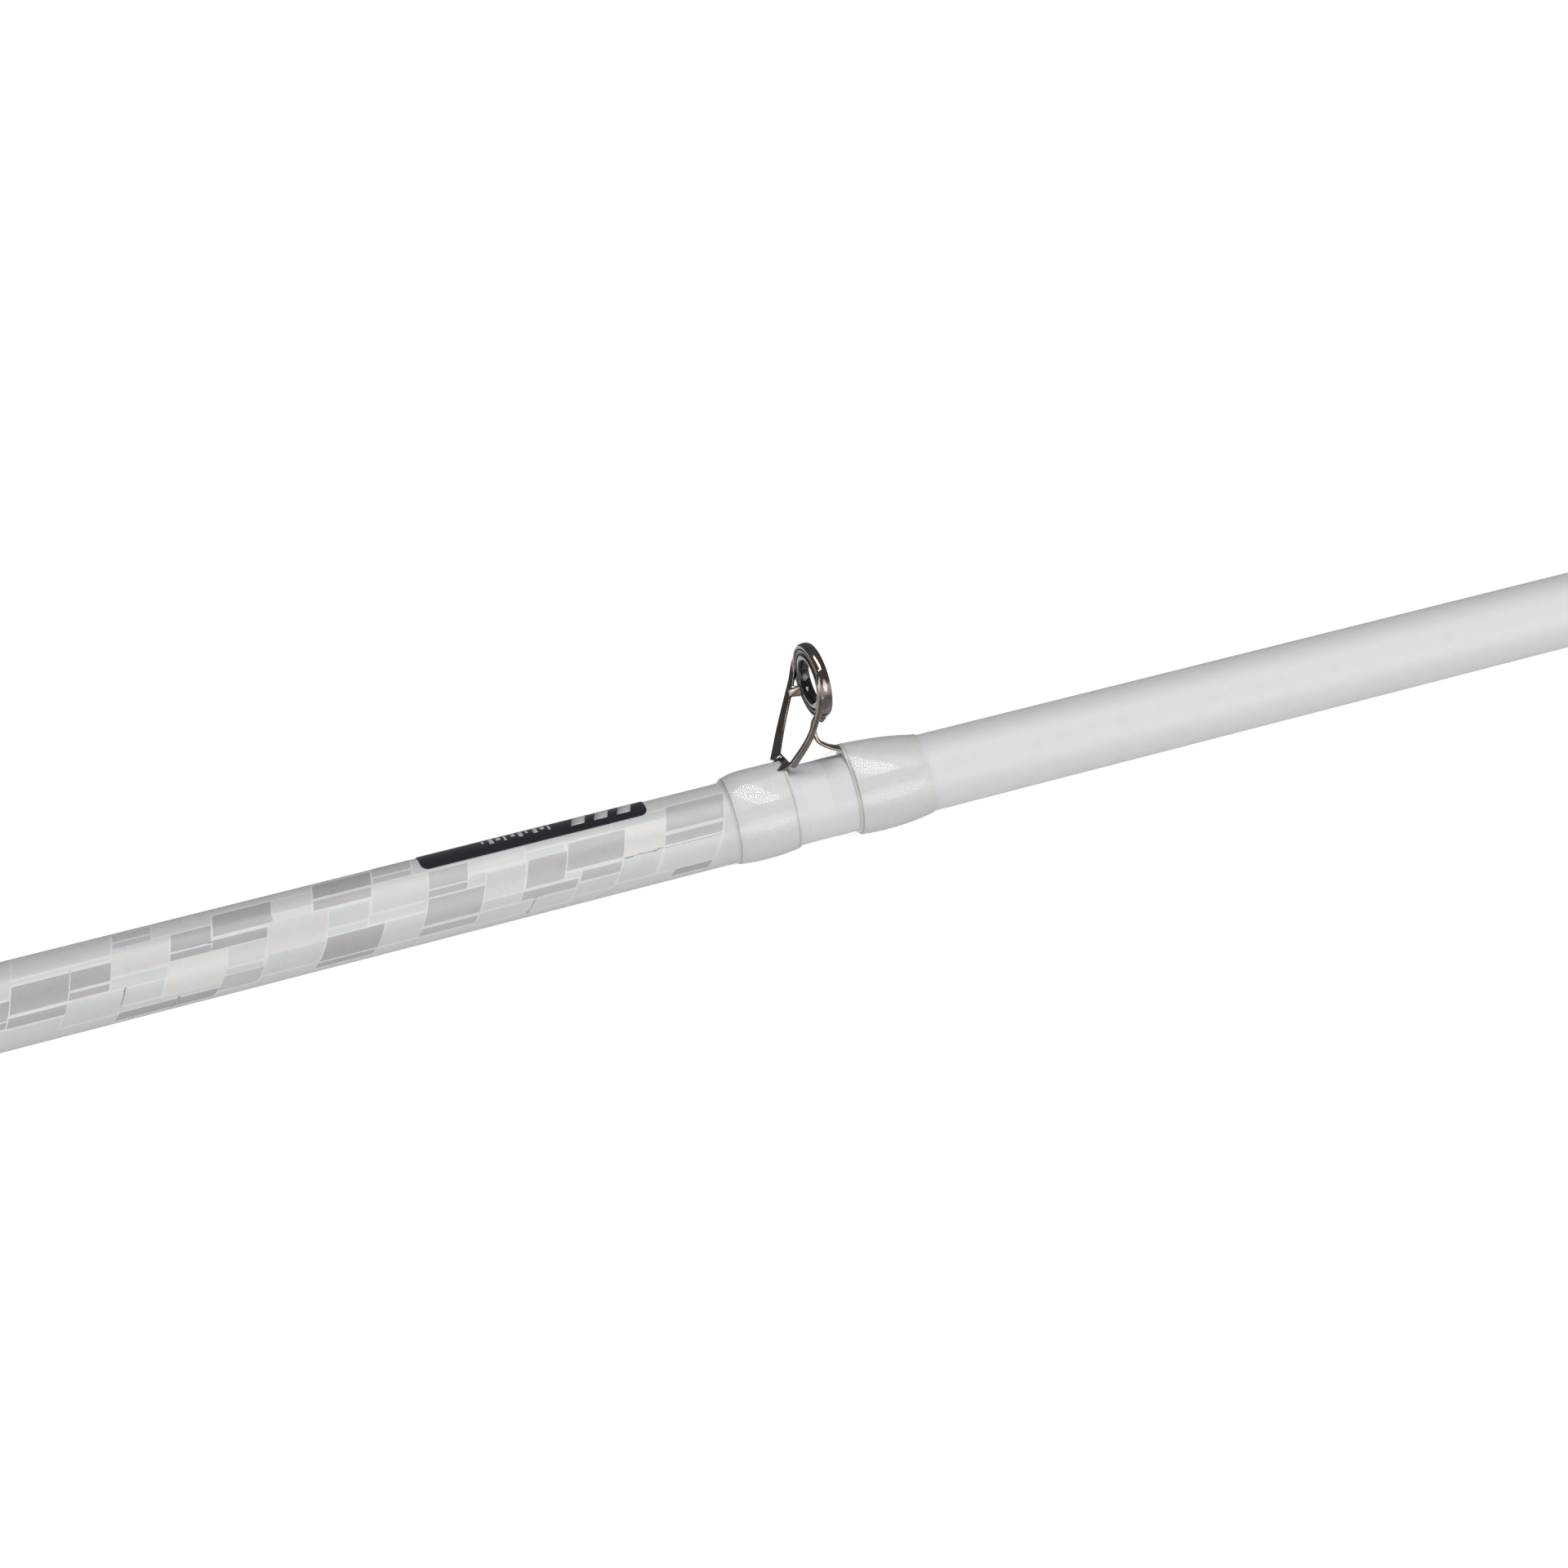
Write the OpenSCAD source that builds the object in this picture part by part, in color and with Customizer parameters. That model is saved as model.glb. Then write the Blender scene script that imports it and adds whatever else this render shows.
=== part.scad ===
// Two-piece casting rod: tapered blank, split grip, trigger reel seat, nine line guides and a tip-top.
// X runs from the butt to the tip and Z points to the guides' side.
// The origin is the centre of the butt cap's flat end face, on the blank's axis. All sizes are millimetres.

/* [Blank] */
// Distance from the butt face to the tip end of the blank
blank_end = 1975; // [1800:5:2150]
// Outside diameter that the taper starts from, at the butt face
butt_d = 14.4; // [13.5:0.1:15]
// Outside diameter at the tip end
tip_d = 2.0; // [1.6:0.1:2.6]
// Shape of the taper: 1 is a straight cone, more keeps the butt thicker for longer
taper_power = 1.15; // [1:0.05:1.4]
// Wall of the blank at the butt
wall_butt = 1.2; // [0.9:0.1:1.6]
// Wall of the blank at the tip
wall_tip = 0.45; // [0.3:0.05:0.6]

/* [Ferrule] */
// Distance from the butt section's end, inside the socket, to the tip end of the blank
tip_reach = 985; // [970:5:1020]
// How far the tip section slides over the butt section
ferrule_overlap = 60; // [40:5:70]
// Wall of the tip section around the socket
ferrule_wall = 1.1; // [0.8:0.1:1.5]
// Length over which the socket's swelling runs out into the blank
ferrule_run_out = 22; // [15:1:30]

/* [Handle] */
// Diameter of the butt cap
cap_d = 28; // [24:0.5:32]
// Length of the butt cap
cap_l = 24; // [18:1:32]
// Diameter of the rear grip at its ends
rear_grip_d = 26.4; // [23:0.2:29]
// Length of the rear grip
rear_grip_l = 100; // [80:1:125]
// Bare blank between the rear grip and the reel seat
bare_gap = 86; // [60:1:100]
// Length of the foregrip
fore_grip_l = 32; // [24:1:45]
// Diameter of the foregrip at its wide end
fore_grip_d = 23.6; // [21:0.2:25]

/* [Reel seat] */
// Bore of the reel seat, which is its nominal size
seat_bore_d = 16; // [15.4:0.1:16.4]
// Length of the reel seat, with its threaded barrel
seat_l = 128; // [124:1:136]
// Wall of the reel seat's body around the bore
seat_wall = 4.2; // [3.8:0.1:4.8]
// Wall of the barrel, from the bore to the top of the thread
barrel_wall = 1.8; // [1.6:0.1:2]
// Pitch of the thread
thread_pitch = 1.5; // [1:0.25:2]
// Wall between the bore and the flat deck
deck_wall = 1.2; // [0.9:0.1:1.3]
// How far the sliding hood travels to lock a reel's foot
hood_travel = 11.6; // [8:0.2:12]
// Length of the sliding hood
hood_l = 18; // [16:1:19]
// Length of the lock nut
nut_l = 14; // [12:1:15]
// How far the trigger reaches below the blank's axis
trigger_drop = 31; // [27:1:35]

/* [Guides] */
// Distance from the tip end of the blank to the ring of each guide, stripper first
guide_from_tip = [1335, 1105, 905, 730, 575, 438, 315, 205, 105];
// Outside diameter of each guide's ceramic ring
ring_d = [8, 7, 6, 5.5, 5.5, 5, 5, 5, 5];
// Inside diameter of each guide's ceramic ring
ring_bore_d = [5.9, 4.8, 4.1, 3.7, 3.7, 3.3, 3.3, 3.3, 3.3];
// Height of each ring's centre above the blank
ring_h = [11.7, 9.4, 7.6, 6.4, 5.8, 5.3, 5.1, 4.8, 4.6];
// Number of guides, from the stripper on, that stand on two feet
two_foot_guides = 3; // [1:1:4]
// Length of the ceramic rings along the line
ring_w = 1.6; // [1.2:0.1:2]
// Width of the metal rim around a ring, measured outwards from the ring
rim_t = 1.4; // [1:0.1:1.6]
// Length of the metal rim along the line
rim_w = 2.1; // [1.7:0.1:2.4]
// How far the stripper guide's ring is turned about the upright
stripper_yaw = 6.5; // [0:0.5:8]
// Length of the tip-top's tube over the blank
tip_tube_l = 14; // [10:1:18]

/* [Graphics] */
// Thickness of the printed sleeve on the butt section
sleeve_t = 0.14; // [0.1:0.02:0.2]
// Length of the dark label
label_l = 32.4; // [20:0.2:50]
// Angle that the label covers around the blank
label_angle = 57; // [40:1:90]

/* [Fits] */
// Glue line between the blank and what is bonded to it
bond_gap = 0.03; // [0.02:0.01:0.06]
// Radial clearance of the ferrule and of a ring in its rim
fit_gap = 0.02; // [0.01:0.01:0.05]
// Radial clearance of the hood and the nut on the barrel
slide_gap = 0.08; // [0.05:0.01:0.1]

/* [Hidden] */
$fn = 64;

GUIDES = len(ring_d);

// The blank's start inside the butt cap, and the handle's pieces in order along X
blank_start = 3;
cap_ring_l = 3;
check_l = 6;
cap_r = cap_d / 2;
grip_x = cap_l + cap_ring_l;
rear_check_x = grip_x + rear_grip_l;
seat_check_x = rear_check_x + check_l + bare_gap;
seat_x = seat_check_x + check_l;
fore_grip_x = seat_x + seat_l;
front_check_x = fore_grip_x + fore_grip_l;
keeper_x = front_check_x + check_l + 17;

// Reel seat, measured along X from its rear end
body_r = seat_bore_d / 2 + seat_wall;
thread_r = seat_bore_d / 2 + barrel_wall;
deck_z = seat_bore_d / 2 + deck_wall;
fixed_hood_x = 24;
fixed_hood_l = 16;
pocket_depth = 12;
barrel_x = 76;
hood_closed_x = barrel_x + 2.4;
hood_open_x = hood_closed_x + hood_travel;
nut_gap = 0.3;
nut_x = hood_open_x + hood_l + nut_gap;
crown_r = body_r - 1.6;
crown_z = deck_z - 4;
pocket_r = crown_r - 1.4;
pocket_step = 0.2;
key_w = 3;
key_depth = 0.8;

// Double-foot guides: stations along X from the ring, for a guide of the stripper's size
ref_ring_d = 8;
rear_wrap = [-17.4, -5];
front_wrap = [0.7, 13.7];
single_wrap = [-15.6, -3.4];
wrap_peak = 0.8;
wrap_power = 0.65;

split_x = blank_end - tip_reach;
stripper_x = blank_end - guide_from_tip[0];
sleeve_x0 = front_check_x + check_l + 0.4;
sleeve_x1 = stripper_x + rear_wrap[0] + 1.9;
label_x = stripper_x - 59.1;

function guide_x(i) = blank_end - guide_from_tip[i];
function guide_scale(i) = ring_d[i] / ref_ring_d;
function rim_r(i) = ring_d[i] / 2 + rim_t * sqrt(guide_scale(i));
function reversed(list) = [for (i = [len(list) - 1:-1:0]) list[i]];
function unit(v) = v / norm(v);
function mix(a, b, t) = a + (b - a) * t;

// Radius of the blank's outside, its bore and the stations of its lathed profile
function blank_r(x) = (butt_d - (butt_d - tip_d) * pow(max(x, 0) / blank_end, taper_power)) / 2;
function bore_r(x) = blank_r(x) - mix(wall_butt, wall_tip, x / blank_end);
function stations(a, b, step = 40) =
    let (n = ceil((b - a) / step)) [for (i = [0:n]) mix(a, b, i / n)];

// What is bonded to the blank starts at this radius; the tip section's socket and outside have their own
function seat_r(x) = blank_r(x) + bond_gap;
function socket_r(x) = blank_r(x) + fit_gap;
function tip_section_r(x) =
    let (run = max(0, min(1, (x - split_x - 5) / ferrule_run_out)))
    mix(socket_r(x) + ferrule_wall, blank_r(x), run * run * (3 - 2 * run));

// Points of a rounded rectangle from corner a to corner b, for lathed rings
function rounded_box(a, b, r, n = 4) = [
    for (c = [[b[0] - r, b[1] - r, 0], [a[0] + r, b[1] - r, 90], [a[0] + r, a[1] + r, 180], [b[0] - r, a[1] + r, 270]])
        for (k = [0:n]) [c[0] + r * cos(c[2] + 90 * k / n), c[1] + r * sin(c[2] + 90 * k / n)]
];

// A smooth curve through hand-placed points, with k steps between each two
function catmull(p, i, t) =
    let (last = len(p) - 1, a = p[max(i - 1, 0)], b = p[i], c = p[min(i + 1, last)], d = p[min(i + 2, last)])
    0.5 * (2 * b + (c - a) * t + (2 * a - 5 * b + 4 * c - d) * t * t + (3 * b - a - 3 * c + d) * t * t * t);
function curve(p, k) = concat([for (i = [0:len(p) - 2]) for (j = [0:k - 1]) catmull(p, i, j / k)], [p[len(p) - 1]]);

// A solid of revolution about X from [x, radius] points
module lathe(points) rotate([0, 90, 0]) rotate_extrude() polygon([for (p = points) [p[1], p[0]]]);

// A lathed sleeve between two lists of [x, radius] points
module sleeve(outside, inside) lathe(concat(outside, reversed(inside)));

// Everything inside the blank's outside, used to bore what sits on it
module blank_core(a, b, gap = bond_gap)
    lathe(concat([[a, 0]], [for (x = stations(a, b)) [x, blank_r(x) + gap]], [[b, 0]]));

// A bar of chamfered rectangular section swept along a path: the width lies across X, the thickness across the path
module bar(path, width, thick) {
    n = len(path);
    ring = [for (i = [0:n - 1])
        let (t = unit(path[min(i + 1, n - 1)] - path[max(i - 1, 0)]),
             side = unit([0, 1, 0] - t[1] * t),
             up = cross(t, side),
             a = mix(width[0], width[1], i / (n - 1)) / 2,
             b = mix(thick[0], thick[1], i / (n - 1)) / 2,
             c = 0.3 * min(a, b))
        for (q = [[a - c, b], [a, b - c], [a, c - b], [a - c, -b], [c - a, -b], [-a, c - b], [-a, b - c], [c - a, b]])
            path[i] + side * q[0] + up * q[1]];
    walls = [for (i = [0:n - 2]) for (j = [0:7])
        let (k = (j + 1) % 8)
        for (face = [[8 * i + j, 8 * i + k, 8 * i + 8 + k], [8 * i + j, 8 * i + 8 + k, 8 * i + 8 + j]]) face];
    polyhedron(ring, concat(walls, [[for (j = [7:-1:0]) j]], [[for (j = [0:7]) 8 * (n - 1) + j]]));
}

// ---- Blank -------------------------------------------------------------------------------------

module blank_butt() color("white")
    sleeve([for (x = stations(blank_start, split_x)) [x, blank_r(x)]],
           [for (x = stations(blank_start, split_x)) [x, bore_r(x)]]);

module blank_tip() color("white") {
    socket_end = split_x + 3;
    outside = concat(stations(split_x - ferrule_overlap, split_x + 5, 20),
                     stations(split_x + 7, split_x + 5 + ferrule_run_out, 4),
                     stations(split_x + 30 + ferrule_run_out, blank_end));
    sleeve([for (x = outside) [x, tip_section_r(x)]],
           concat([for (x = stations(split_x - ferrule_overlap, socket_end, 20)) [x, socket_r(x)]],
                  [for (x = stations(socket_end, blank_end)) [x, bore_r(x)]]));
}

// ---- Thread wraps ------------------------------------------------------------------------------

// Outline of a thread wrap under its coat of epoxy, from x0 to x1, over a surface given by its radius at x
function lens(x0, x1, peak, lift = 0) = [
    for (i = [0:12]) let (u = i / 12, x = mix(x0, x1, u)) [x, seat_r(x) + lift + 0.02 + peak * pow(sin(180 * u), wrap_power)]
];

module plain_wrap(x0, x1, peak, lift = 0)
    sleeve(lens(x0, x1, peak, lift), [for (x = [x0, x1]) [x, seat_r(x) + lift]]);

module ferrule_wrap() color("gainsboro") {
    x0 = split_x - ferrule_overlap + 1;
    lift = ferrule_wall;
    plain_wrap(x0, x0 + 20, 0.5, lift);
}

module ferrule_trim() color("gainsboro") {
    x1 = split_x - ferrule_overlap - 4;
    plain_wrap(x1 - 18, x1, 0.5);
}

// ---- Handle ------------------------------------------------------------------------------------

module butt_cap() color("dimgray") {
    edge = 2;
    rim = [for (a = [0:15:90]) [edge - edge * cos(a), cap_r - edge + edge * sin(a)]];
    lathe(concat([[0, 0]], rim, [[cap_l - 1.2, cap_r], [cap_l, cap_r - 0.8]],
                 [[cap_l, seat_r(cap_l)], [blank_start, seat_r(blank_start)], [blank_start, 0]]));
}

module cap_ring() color("silver")
    sleeve([[cap_l, cap_r - 1], [cap_l + 0.5, cap_r - 0.5], [grip_x - 0.5, cap_r - 0.5], [grip_x, cap_r - 1]],
           [for (x = [cap_l, grip_x]) [x, seat_r(x)]]);

// The rear grip narrows to a waist in front of its palm swell
module rear_grip() color("dimgray") {
    waist = 1.7;
    steps = 24;
    outside = [for (i = [0:steps])
        let (u = i / steps, edge = 1.2 * pow(abs(2 * u - 1), 16))
        [mix(grip_x, rear_check_x, u), rear_grip_d / 2 - waist * pow(sin(180 * pow(u, 0.75)), 2) - edge]];
    sleeve(outside, [for (x = stations(grip_x, rear_check_x)) [x, seat_r(x)]]);
}

// A tapered aluminium trim ring; its wide end is at x0 when big comes first
module winding_check(x0, r0, r1)
    sleeve([[x0, r0 - 0.4], [x0 + 0.4, r0], [x0 + 1.6, r0], [x0 + 2, mix(r0, r1, 0.4)], [x0 + check_l - 2, mix(r0, r1, 0.6)],
            [x0 + check_l - 1.6, r1], [x0 + check_l - 0.4, r1], [x0 + check_l, r1 - 0.4]],
           [for (x = [x0, x0 + check_l]) [x, seat_r(x)]]);

module rear_check() color("silver") winding_check(rear_check_x, rear_grip_d / 2 - 1.4, blank_r(rear_check_x) + 1.4);

module seat_check() color("silver") winding_check(seat_check_x, blank_r(seat_check_x) + 1.4, seat_bore_d / 2 + 1.6);

module fore_grip() color("dimgray") {
    steps = 12;
    narrow_r = blank_r(front_check_x) + 3.2;
    outside = [for (i = [0:steps])
        let (u = i / steps, edge = 1.0 * pow(abs(2 * u - 1), 12))
        [mix(fore_grip_x, front_check_x, u), mix(fore_grip_d / 2, narrow_r, pow(u, 1.3)) - edge]];
    sleeve(outside, [for (x = [fore_grip_x, front_check_x]) [x, seat_r(x)]]);
}

module front_check() color("silver")
    winding_check(front_check_x, blank_r(front_check_x) + 2.4, blank_r(front_check_x) + 1.2);

// ---- Reel seat ---------------------------------------------------------------------------------

// A hood: a round body with a crown over the reel's foot, with bevelled ends, from x0 along X
module hood_solid(x0, length, r, bevel)
    for (part = [[0, r], [crown_z, crown_r]]) translate([x0, 0, part[0]])
        lathe([[0, 0], [0, part[1] - bevel], [bevel, part[1]], [length - bevel, part[1]], [length, part[1] - bevel], [length, 0]]);

// Extrudes a section drawn as [across, up] from x0 along X
module along_x(x0, length) translate([x0, 0, 0]) rotate([90, 0, 90]) linear_extrude(length) children();

// The pocket that holds one end of a reel's foot: its floor is just below the deck, and it is arched above
module foot_pocket(x0, length)
    along_x(x0, length) intersection() {
        translate([0, crown_z]) circle(pocket_r);
        translate([-pocket_r, deck_z - pocket_step]) square([2 * pocket_r, pocket_r]);
    }

// The trigger: a side profile that hangs below the seat and curls forward, narrowed to a rounded tip
module trigger() {
    root_z = 2 - body_r;
    back = [[33, root_z], [36.5, -body_r - 1.6], [39.5, mix(-body_r, -trigger_drop, 0.45)], [44.5, 5.5 - trigger_drop],
            [50.5, 1 - trigger_drop], [56, -trigger_drop]];
    front = [[57.2, 2 - trigger_drop], [56, 4 - trigger_drop], [51.5, 6.6 - trigger_drop], [47.6, mix(-body_r, -trigger_drop, 0.45)],
             [49.5, -body_r - 2.6], [57, -body_r + 0.6], [63, root_z]];
    half_w = 4.6;
    intersection() {
        rotate([90, 0, 0]) linear_extrude(30, center = true) polygon(concat(curve(back, 4), curve(front, 4)));
        along_x(30, 40) polygon(concat([[9.5, root_z], [half_w + 1, -body_r - 1.6]],
            [for (a = [0:15:180]) [half_w * cos(a), half_w - trigger_drop - half_w * sin(a)]],
            [[-half_w - 1, -body_r - 1.6], [-9.5, root_z]]));
    }
}

module reel_seat() color("dimgray") translate([seat_x, 0, 0]) {
    nose = [for (i = [0:6]) [fixed_hood_x * i / 6, mix(5.4, crown_r, pow(sin(15 * i), 0.8))]];
    thread_n = floor((seat_l - barrel_x - 4) / thread_pitch);
    thread = [for (i = [0:thread_n - 1]) for (q = [[0, 0], [0.25, -0.65], [0.5, -0.65], [0.75, 0]])
        [barrel_x + 2 + (i + q[0]) * thread_pitch, thread_r + q[1]]];
    difference() {
        union() {
            lathe(concat([[0, 0], [0, seat_bore_d / 2 + 1.6], [2, seat_bore_d / 2 + 2.4], [12, body_r - 1.2],
                          [fixed_hood_x - 2, body_r - 0.8], [fixed_hood_x, body_r], [barrel_x - 4, body_r], [barrel_x, thread_r]],
                         thread, [[seat_l, thread_r], [seat_l, 0]]));
            translate([0, 0, crown_z]) lathe(concat([[0, 0]], nose, [[fixed_hood_x + 1, crown_r], [fixed_hood_x + 1, 0]]));
            hood_solid(fixed_hood_x - 2, fixed_hood_l + 2, body_r, 0.8);
            trigger();
        }
        lathe([[-1, 0], [-1, seat_bore_d / 2], [seat_l + 1, seat_bore_d / 2], [seat_l + 1, 0]]);
        translate([fixed_hood_x + fixed_hood_l, -body_r - 1, deck_z]) cube([seat_l, 2 * body_r + 2, 2 * body_r]);
        foot_pocket(fixed_hood_x + fixed_hood_l - pocket_depth, pocket_depth);
        translate([barrel_x + 1, -key_w / 2, -thread_r - 1]) cube([seat_l, key_w, key_depth + 1]);
    }
}

// Bushes between the blank and the reel seat's wider bore
module seat_arbors() color("tan") {
    arbor_l = 16;
    for (x = [seat_x + 4, seat_x + (seat_l - arbor_l) / 2, seat_x + seat_l - arbor_l - 4])
        sleeve([for (e = [x, x + arbor_l]) [e, seat_bore_d / 2 - bond_gap]], [for (e = [x, x + arbor_l]) [e, seat_r(e)]]);
}

module sliding_hood() color("gray") translate([seat_x + hood_open_x, 0, 0]) {
    difference() {
        hood_solid(0, hood_l, thread_r + 2.4, 0.7);
        lathe([[-1, 0], [-1, thread_r + slide_gap], [hood_l + 1, thread_r + slide_gap], [hood_l + 1, 0]]);
        foot_pocket(-1, pocket_depth + 1);
    }
    translate([2, slide_gap - key_w / 2, -thread_r - 1])
        cube([hood_l - 4, key_w - 2 * slide_gap, key_depth + 1 - slide_gap]);
}

module lock_nut() color("gray") translate([seat_x + nut_x, 0, 0]) {
    nut_r = thread_r + 2.7;
    flutes = 20;
    difference() {
        sleeve([[0, nut_r - 0.6], [0.6, nut_r], [nut_l - 2, nut_r], [nut_l, nut_r - 1.2]],
               [for (x = [0, nut_l]) [x, thread_r + slide_gap]]);
        for (i = [0:flutes - 1])
            rotate([i * 360 / flutes, 0, 0]) translate([2, 0, nut_r + 0.7]) rotate([0, 90, 0]) cylinder(r = 1.3, h = nut_l, $fn = 24);
    }
}

// ---- Hook keeper -------------------------------------------------------------------------------

keeper_wire = 1.2;
keeper_foot = 8.5;
keeper_gap = 5;

// Path of the keeper's wire under the blank: flat feet and an arch, at this distance from the axis
function keeper_path() =
    let (r = seat_r(keeper_x) + sleeve_t + 0.06 + keeper_wire / 2, h = keeper_gap + keeper_wire / 2)
    curve([[keeper_x - 5 - keeper_foot, 0, -r], [keeper_x - 6.5, 0, -r], [keeper_x - 4.4, 0, -r - 0.5],
           [keeper_x - 3.8, 0, -r - h * 0.6], [keeper_x - 2.4, 0, -r - h], [keeper_x, 0, -r - h - 0.5],
           [keeper_x + 2.4, 0, -r - h], [keeper_x + 3.8, 0, -r - h * 0.6], [keeper_x + 4.4, 0, -r - 0.5],
           [keeper_x + 6.5, 0, -r], [keeper_x + 5 + keeper_foot, 0, -r]], 3);

module hook_keeper() color("dimgray")
    bar(keeper_path(), [keeper_wire, keeper_wire], [keeper_wire, keeper_wire]);

module keeper_wraps() color("gainsboro") {
    lift = sleeve_t + 0.04;
    ridge_r = 3.4;
    for (x0 = [keeper_x - 5.6 - keeper_foot, keeper_x + 5.2]) difference() {
        x1 = x0 + keeper_foot + 0.4;
        ridge_z = -seat_r(x0) - lift - keeper_wire - 0.5 + ridge_r;
        union() {
            lathe(concat([[x0, 0]], lens(x0, x1, 0.6, lift), [[x1, 0]]));
            translate([0, 0, ridge_z]) lathe([[x0 + 0.4, 0], [x0 + 0.4, 2.6], [x0 + 1.6, ridge_r], [x1 - 1.6, ridge_r], [x1 - 0.4, 2.6], [x1 - 0.4, 0]]);
        }
        blank_core(x0 - 1, x1 + 1, bond_gap + lift);
        bar(keeper_path(), [keeper_wire + 0.08, keeper_wire + 0.08], [keeper_wire + 0.08, keeper_wire + 0.08]);
    }
}

// ---- Graphics ----------------------------------------------------------------------------------

module graphic_sleeve() color("lightgray")
    sleeve([for (x = stations(sleeve_x0, sleeve_x1)) [x, seat_r(x) + sleeve_t]],
           [for (x = stations(sleeve_x0, sleeve_x1)) [x, seat_r(x)]]);

module label() color("midnightblue") {
    label_t = 0.12;
    inner = seat_r(label_x) + sleeve_t + 0.02;
    outer_end = seat_r(label_x + label_l) + sleeve_t + 0.02;
    translate([label_x, 0, 0]) rotate([0, 90, 0])
        rotate_extrude(angle = label_angle, start = 180 - label_angle / 2)
            polygon([[inner, 0], [inner + label_t, 0], [outer_end + label_t, label_l], [outer_end, label_l]]);
}

// ---- Line guides -------------------------------------------------------------------------------

// A ceramic ring on the X axis of the line, with rounded edges and a short straight bore
module ceramic_ring(d, bore, w)
    lathe(rounded_box([-w / 2, bore / 2], [w / 2, d / 2], 0.35));

// The metal rim that the ring is pressed into
module rim(d, r, w)
    lathe(rounded_box([-w / 2, d / 2 + fit_gap], [w / 2, r], min(0.6, (r - d / 2) * 0.45)));

// Centre-line of a foot and leg, as [x from the ring, height above the blank, across], placed on guide i
function guide_yaw(i) = i == 0 ? stripper_yaw : 0;
function placed(i, points) = [for (p = points)
    [guide_x(i) + p[0] - p[2] * sin(guide_yaw(i)), p[2], blank_r(guide_x(i)) + p[1]]];

// The front leg of a double-foot guide: from the bottom of the rim, round an S and along the blank
function front_leg(i) =
    let (s = guide_scale(i), h = ring_h[i] - rim_r(i) + 0.35)
    placed(i, [[0.2 * s, h, 0], [-0.5 * s, 0.87 * h, 0], [-0.8 * s, 0.69 * h, 0], [-0.35 * s, 0.47 * h, 0],
               [0.5 * s, 0.33 * h, 0], [1.9 * s, 1.3 * s, 0], [4.0 * s, 0.88 * s, 0], [7 * s, 0.55 * s, 0], [11.2 * s, 0.34 * s, 0]]);

// The front leg's top spreads over the bottom of the rim
function shield(i) =
    let (s = guide_scale(i), h = ring_h[i] - rim_r(i))
    placed(i, [[0.55 * s, h + 1.3 * s, 0], [0.45 * s, h + 0.3 * s, 0], [-0.15 * s, h - 0.5 * s, 0]]);

// The rear foot, and the two arms that rise from it to the flanks of the rim, each with a web to the rim
function rear_foot(i) =
    let (s = guide_scale(i))
    placed(i, [[-15.2 * s, 0.40 * s, 0], [-11.5 * s, 0.50 * s, 0], [-8.4 * s, 0.56 * s, 0], [-6.8 * s, 0.8 * s, 0], [-5.6 * s, 1.35 * s, 0]]);

function arm(i, side) =
    let (s = guide_scale(i), h = ring_h[i], r = rim_r(i))
    placed(i, [[-6.3 * s, 1.0 * s, side * 0.27 * r], [-5.65 * s, 0.16 * h, side * 0.39 * r], [-3.85 * s, 0.40 * h, side * 0.56 * r],
               [-2.1 * s, 0.71 * h, side * 0.76 * r], [-1.2 * s, 0.93 * h, side * 0.87 * r], [-0.8 * s, h + 0.2 * r, side * 0.91 * r],
               [-0.4 * s, h + 0.46 * r, side * 0.88 * r]]);

function web(i, side) =
    let (s = guide_scale(i), h = ring_h[i], r = rim_r(i))
    placed(i, [[-1.75 * s, 0.81 * h, side * 0.76 * r], [-0.9 * s, 0.79 * h, side * 0.76 * r], [0, 0.80 * h, side * 0.76 * r]]);

// The foot and arms of a single-foot guide, which stands behind its ring
function single_foot(i) =
    let (s = guide_scale(i))
    placed(i, [[-13.5 * s, 0.36 * s, 0], [-9 * s, 0.48 * s, 0], [-5.4 * s, 0.55 * s, 0], [-3.9 * s, 0.9 * s, 0], [-3.0 * s, 1.5 * s, 0]]);

function single_arm(i, side) =
    let (s = guide_scale(i), h = ring_h[i], r = rim_r(i))
    placed(i, [[-4.2 * s, 0.85 * s, side * 0.5 * s], [-3.0 * s, 0.3 * h, side * 0.35 * r], [-1.6 * s, 0.6 * h, side * 0.7 * r],
               [-0.6 * s, 0.9 * h, side * 0.93 * r], [-0.1 * s, h + 0.2 * r, side * 0.93 * r]]);

module at_ring(i)
    translate([guide_x(i), 0, blank_r(guide_x(i)) + ring_h[i]]) rotate([0, 0, guide_yaw(i)]) children();

module feet(i, grow = 0) {
    s = guide_scale(i);
    steps = 2;
    if (i < two_foot_guides) {
        bar(curve(front_leg(i), steps), [1.7 * s + grow, 2.5 * s + grow], [0.75 * s + grow, 0.4 * s + grow]);
        bar(curve(rear_foot(i), steps), [2.4 * s + grow, 4.4 * s + grow], [0.5 * s + grow, 0.75 * s + grow]);
    } else {
        bar(curve(single_foot(i), steps), [2.4 * s + grow, 2.2 * s + grow], [0.5 * s + grow, 0.75 * s + grow]);
    }
}

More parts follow.
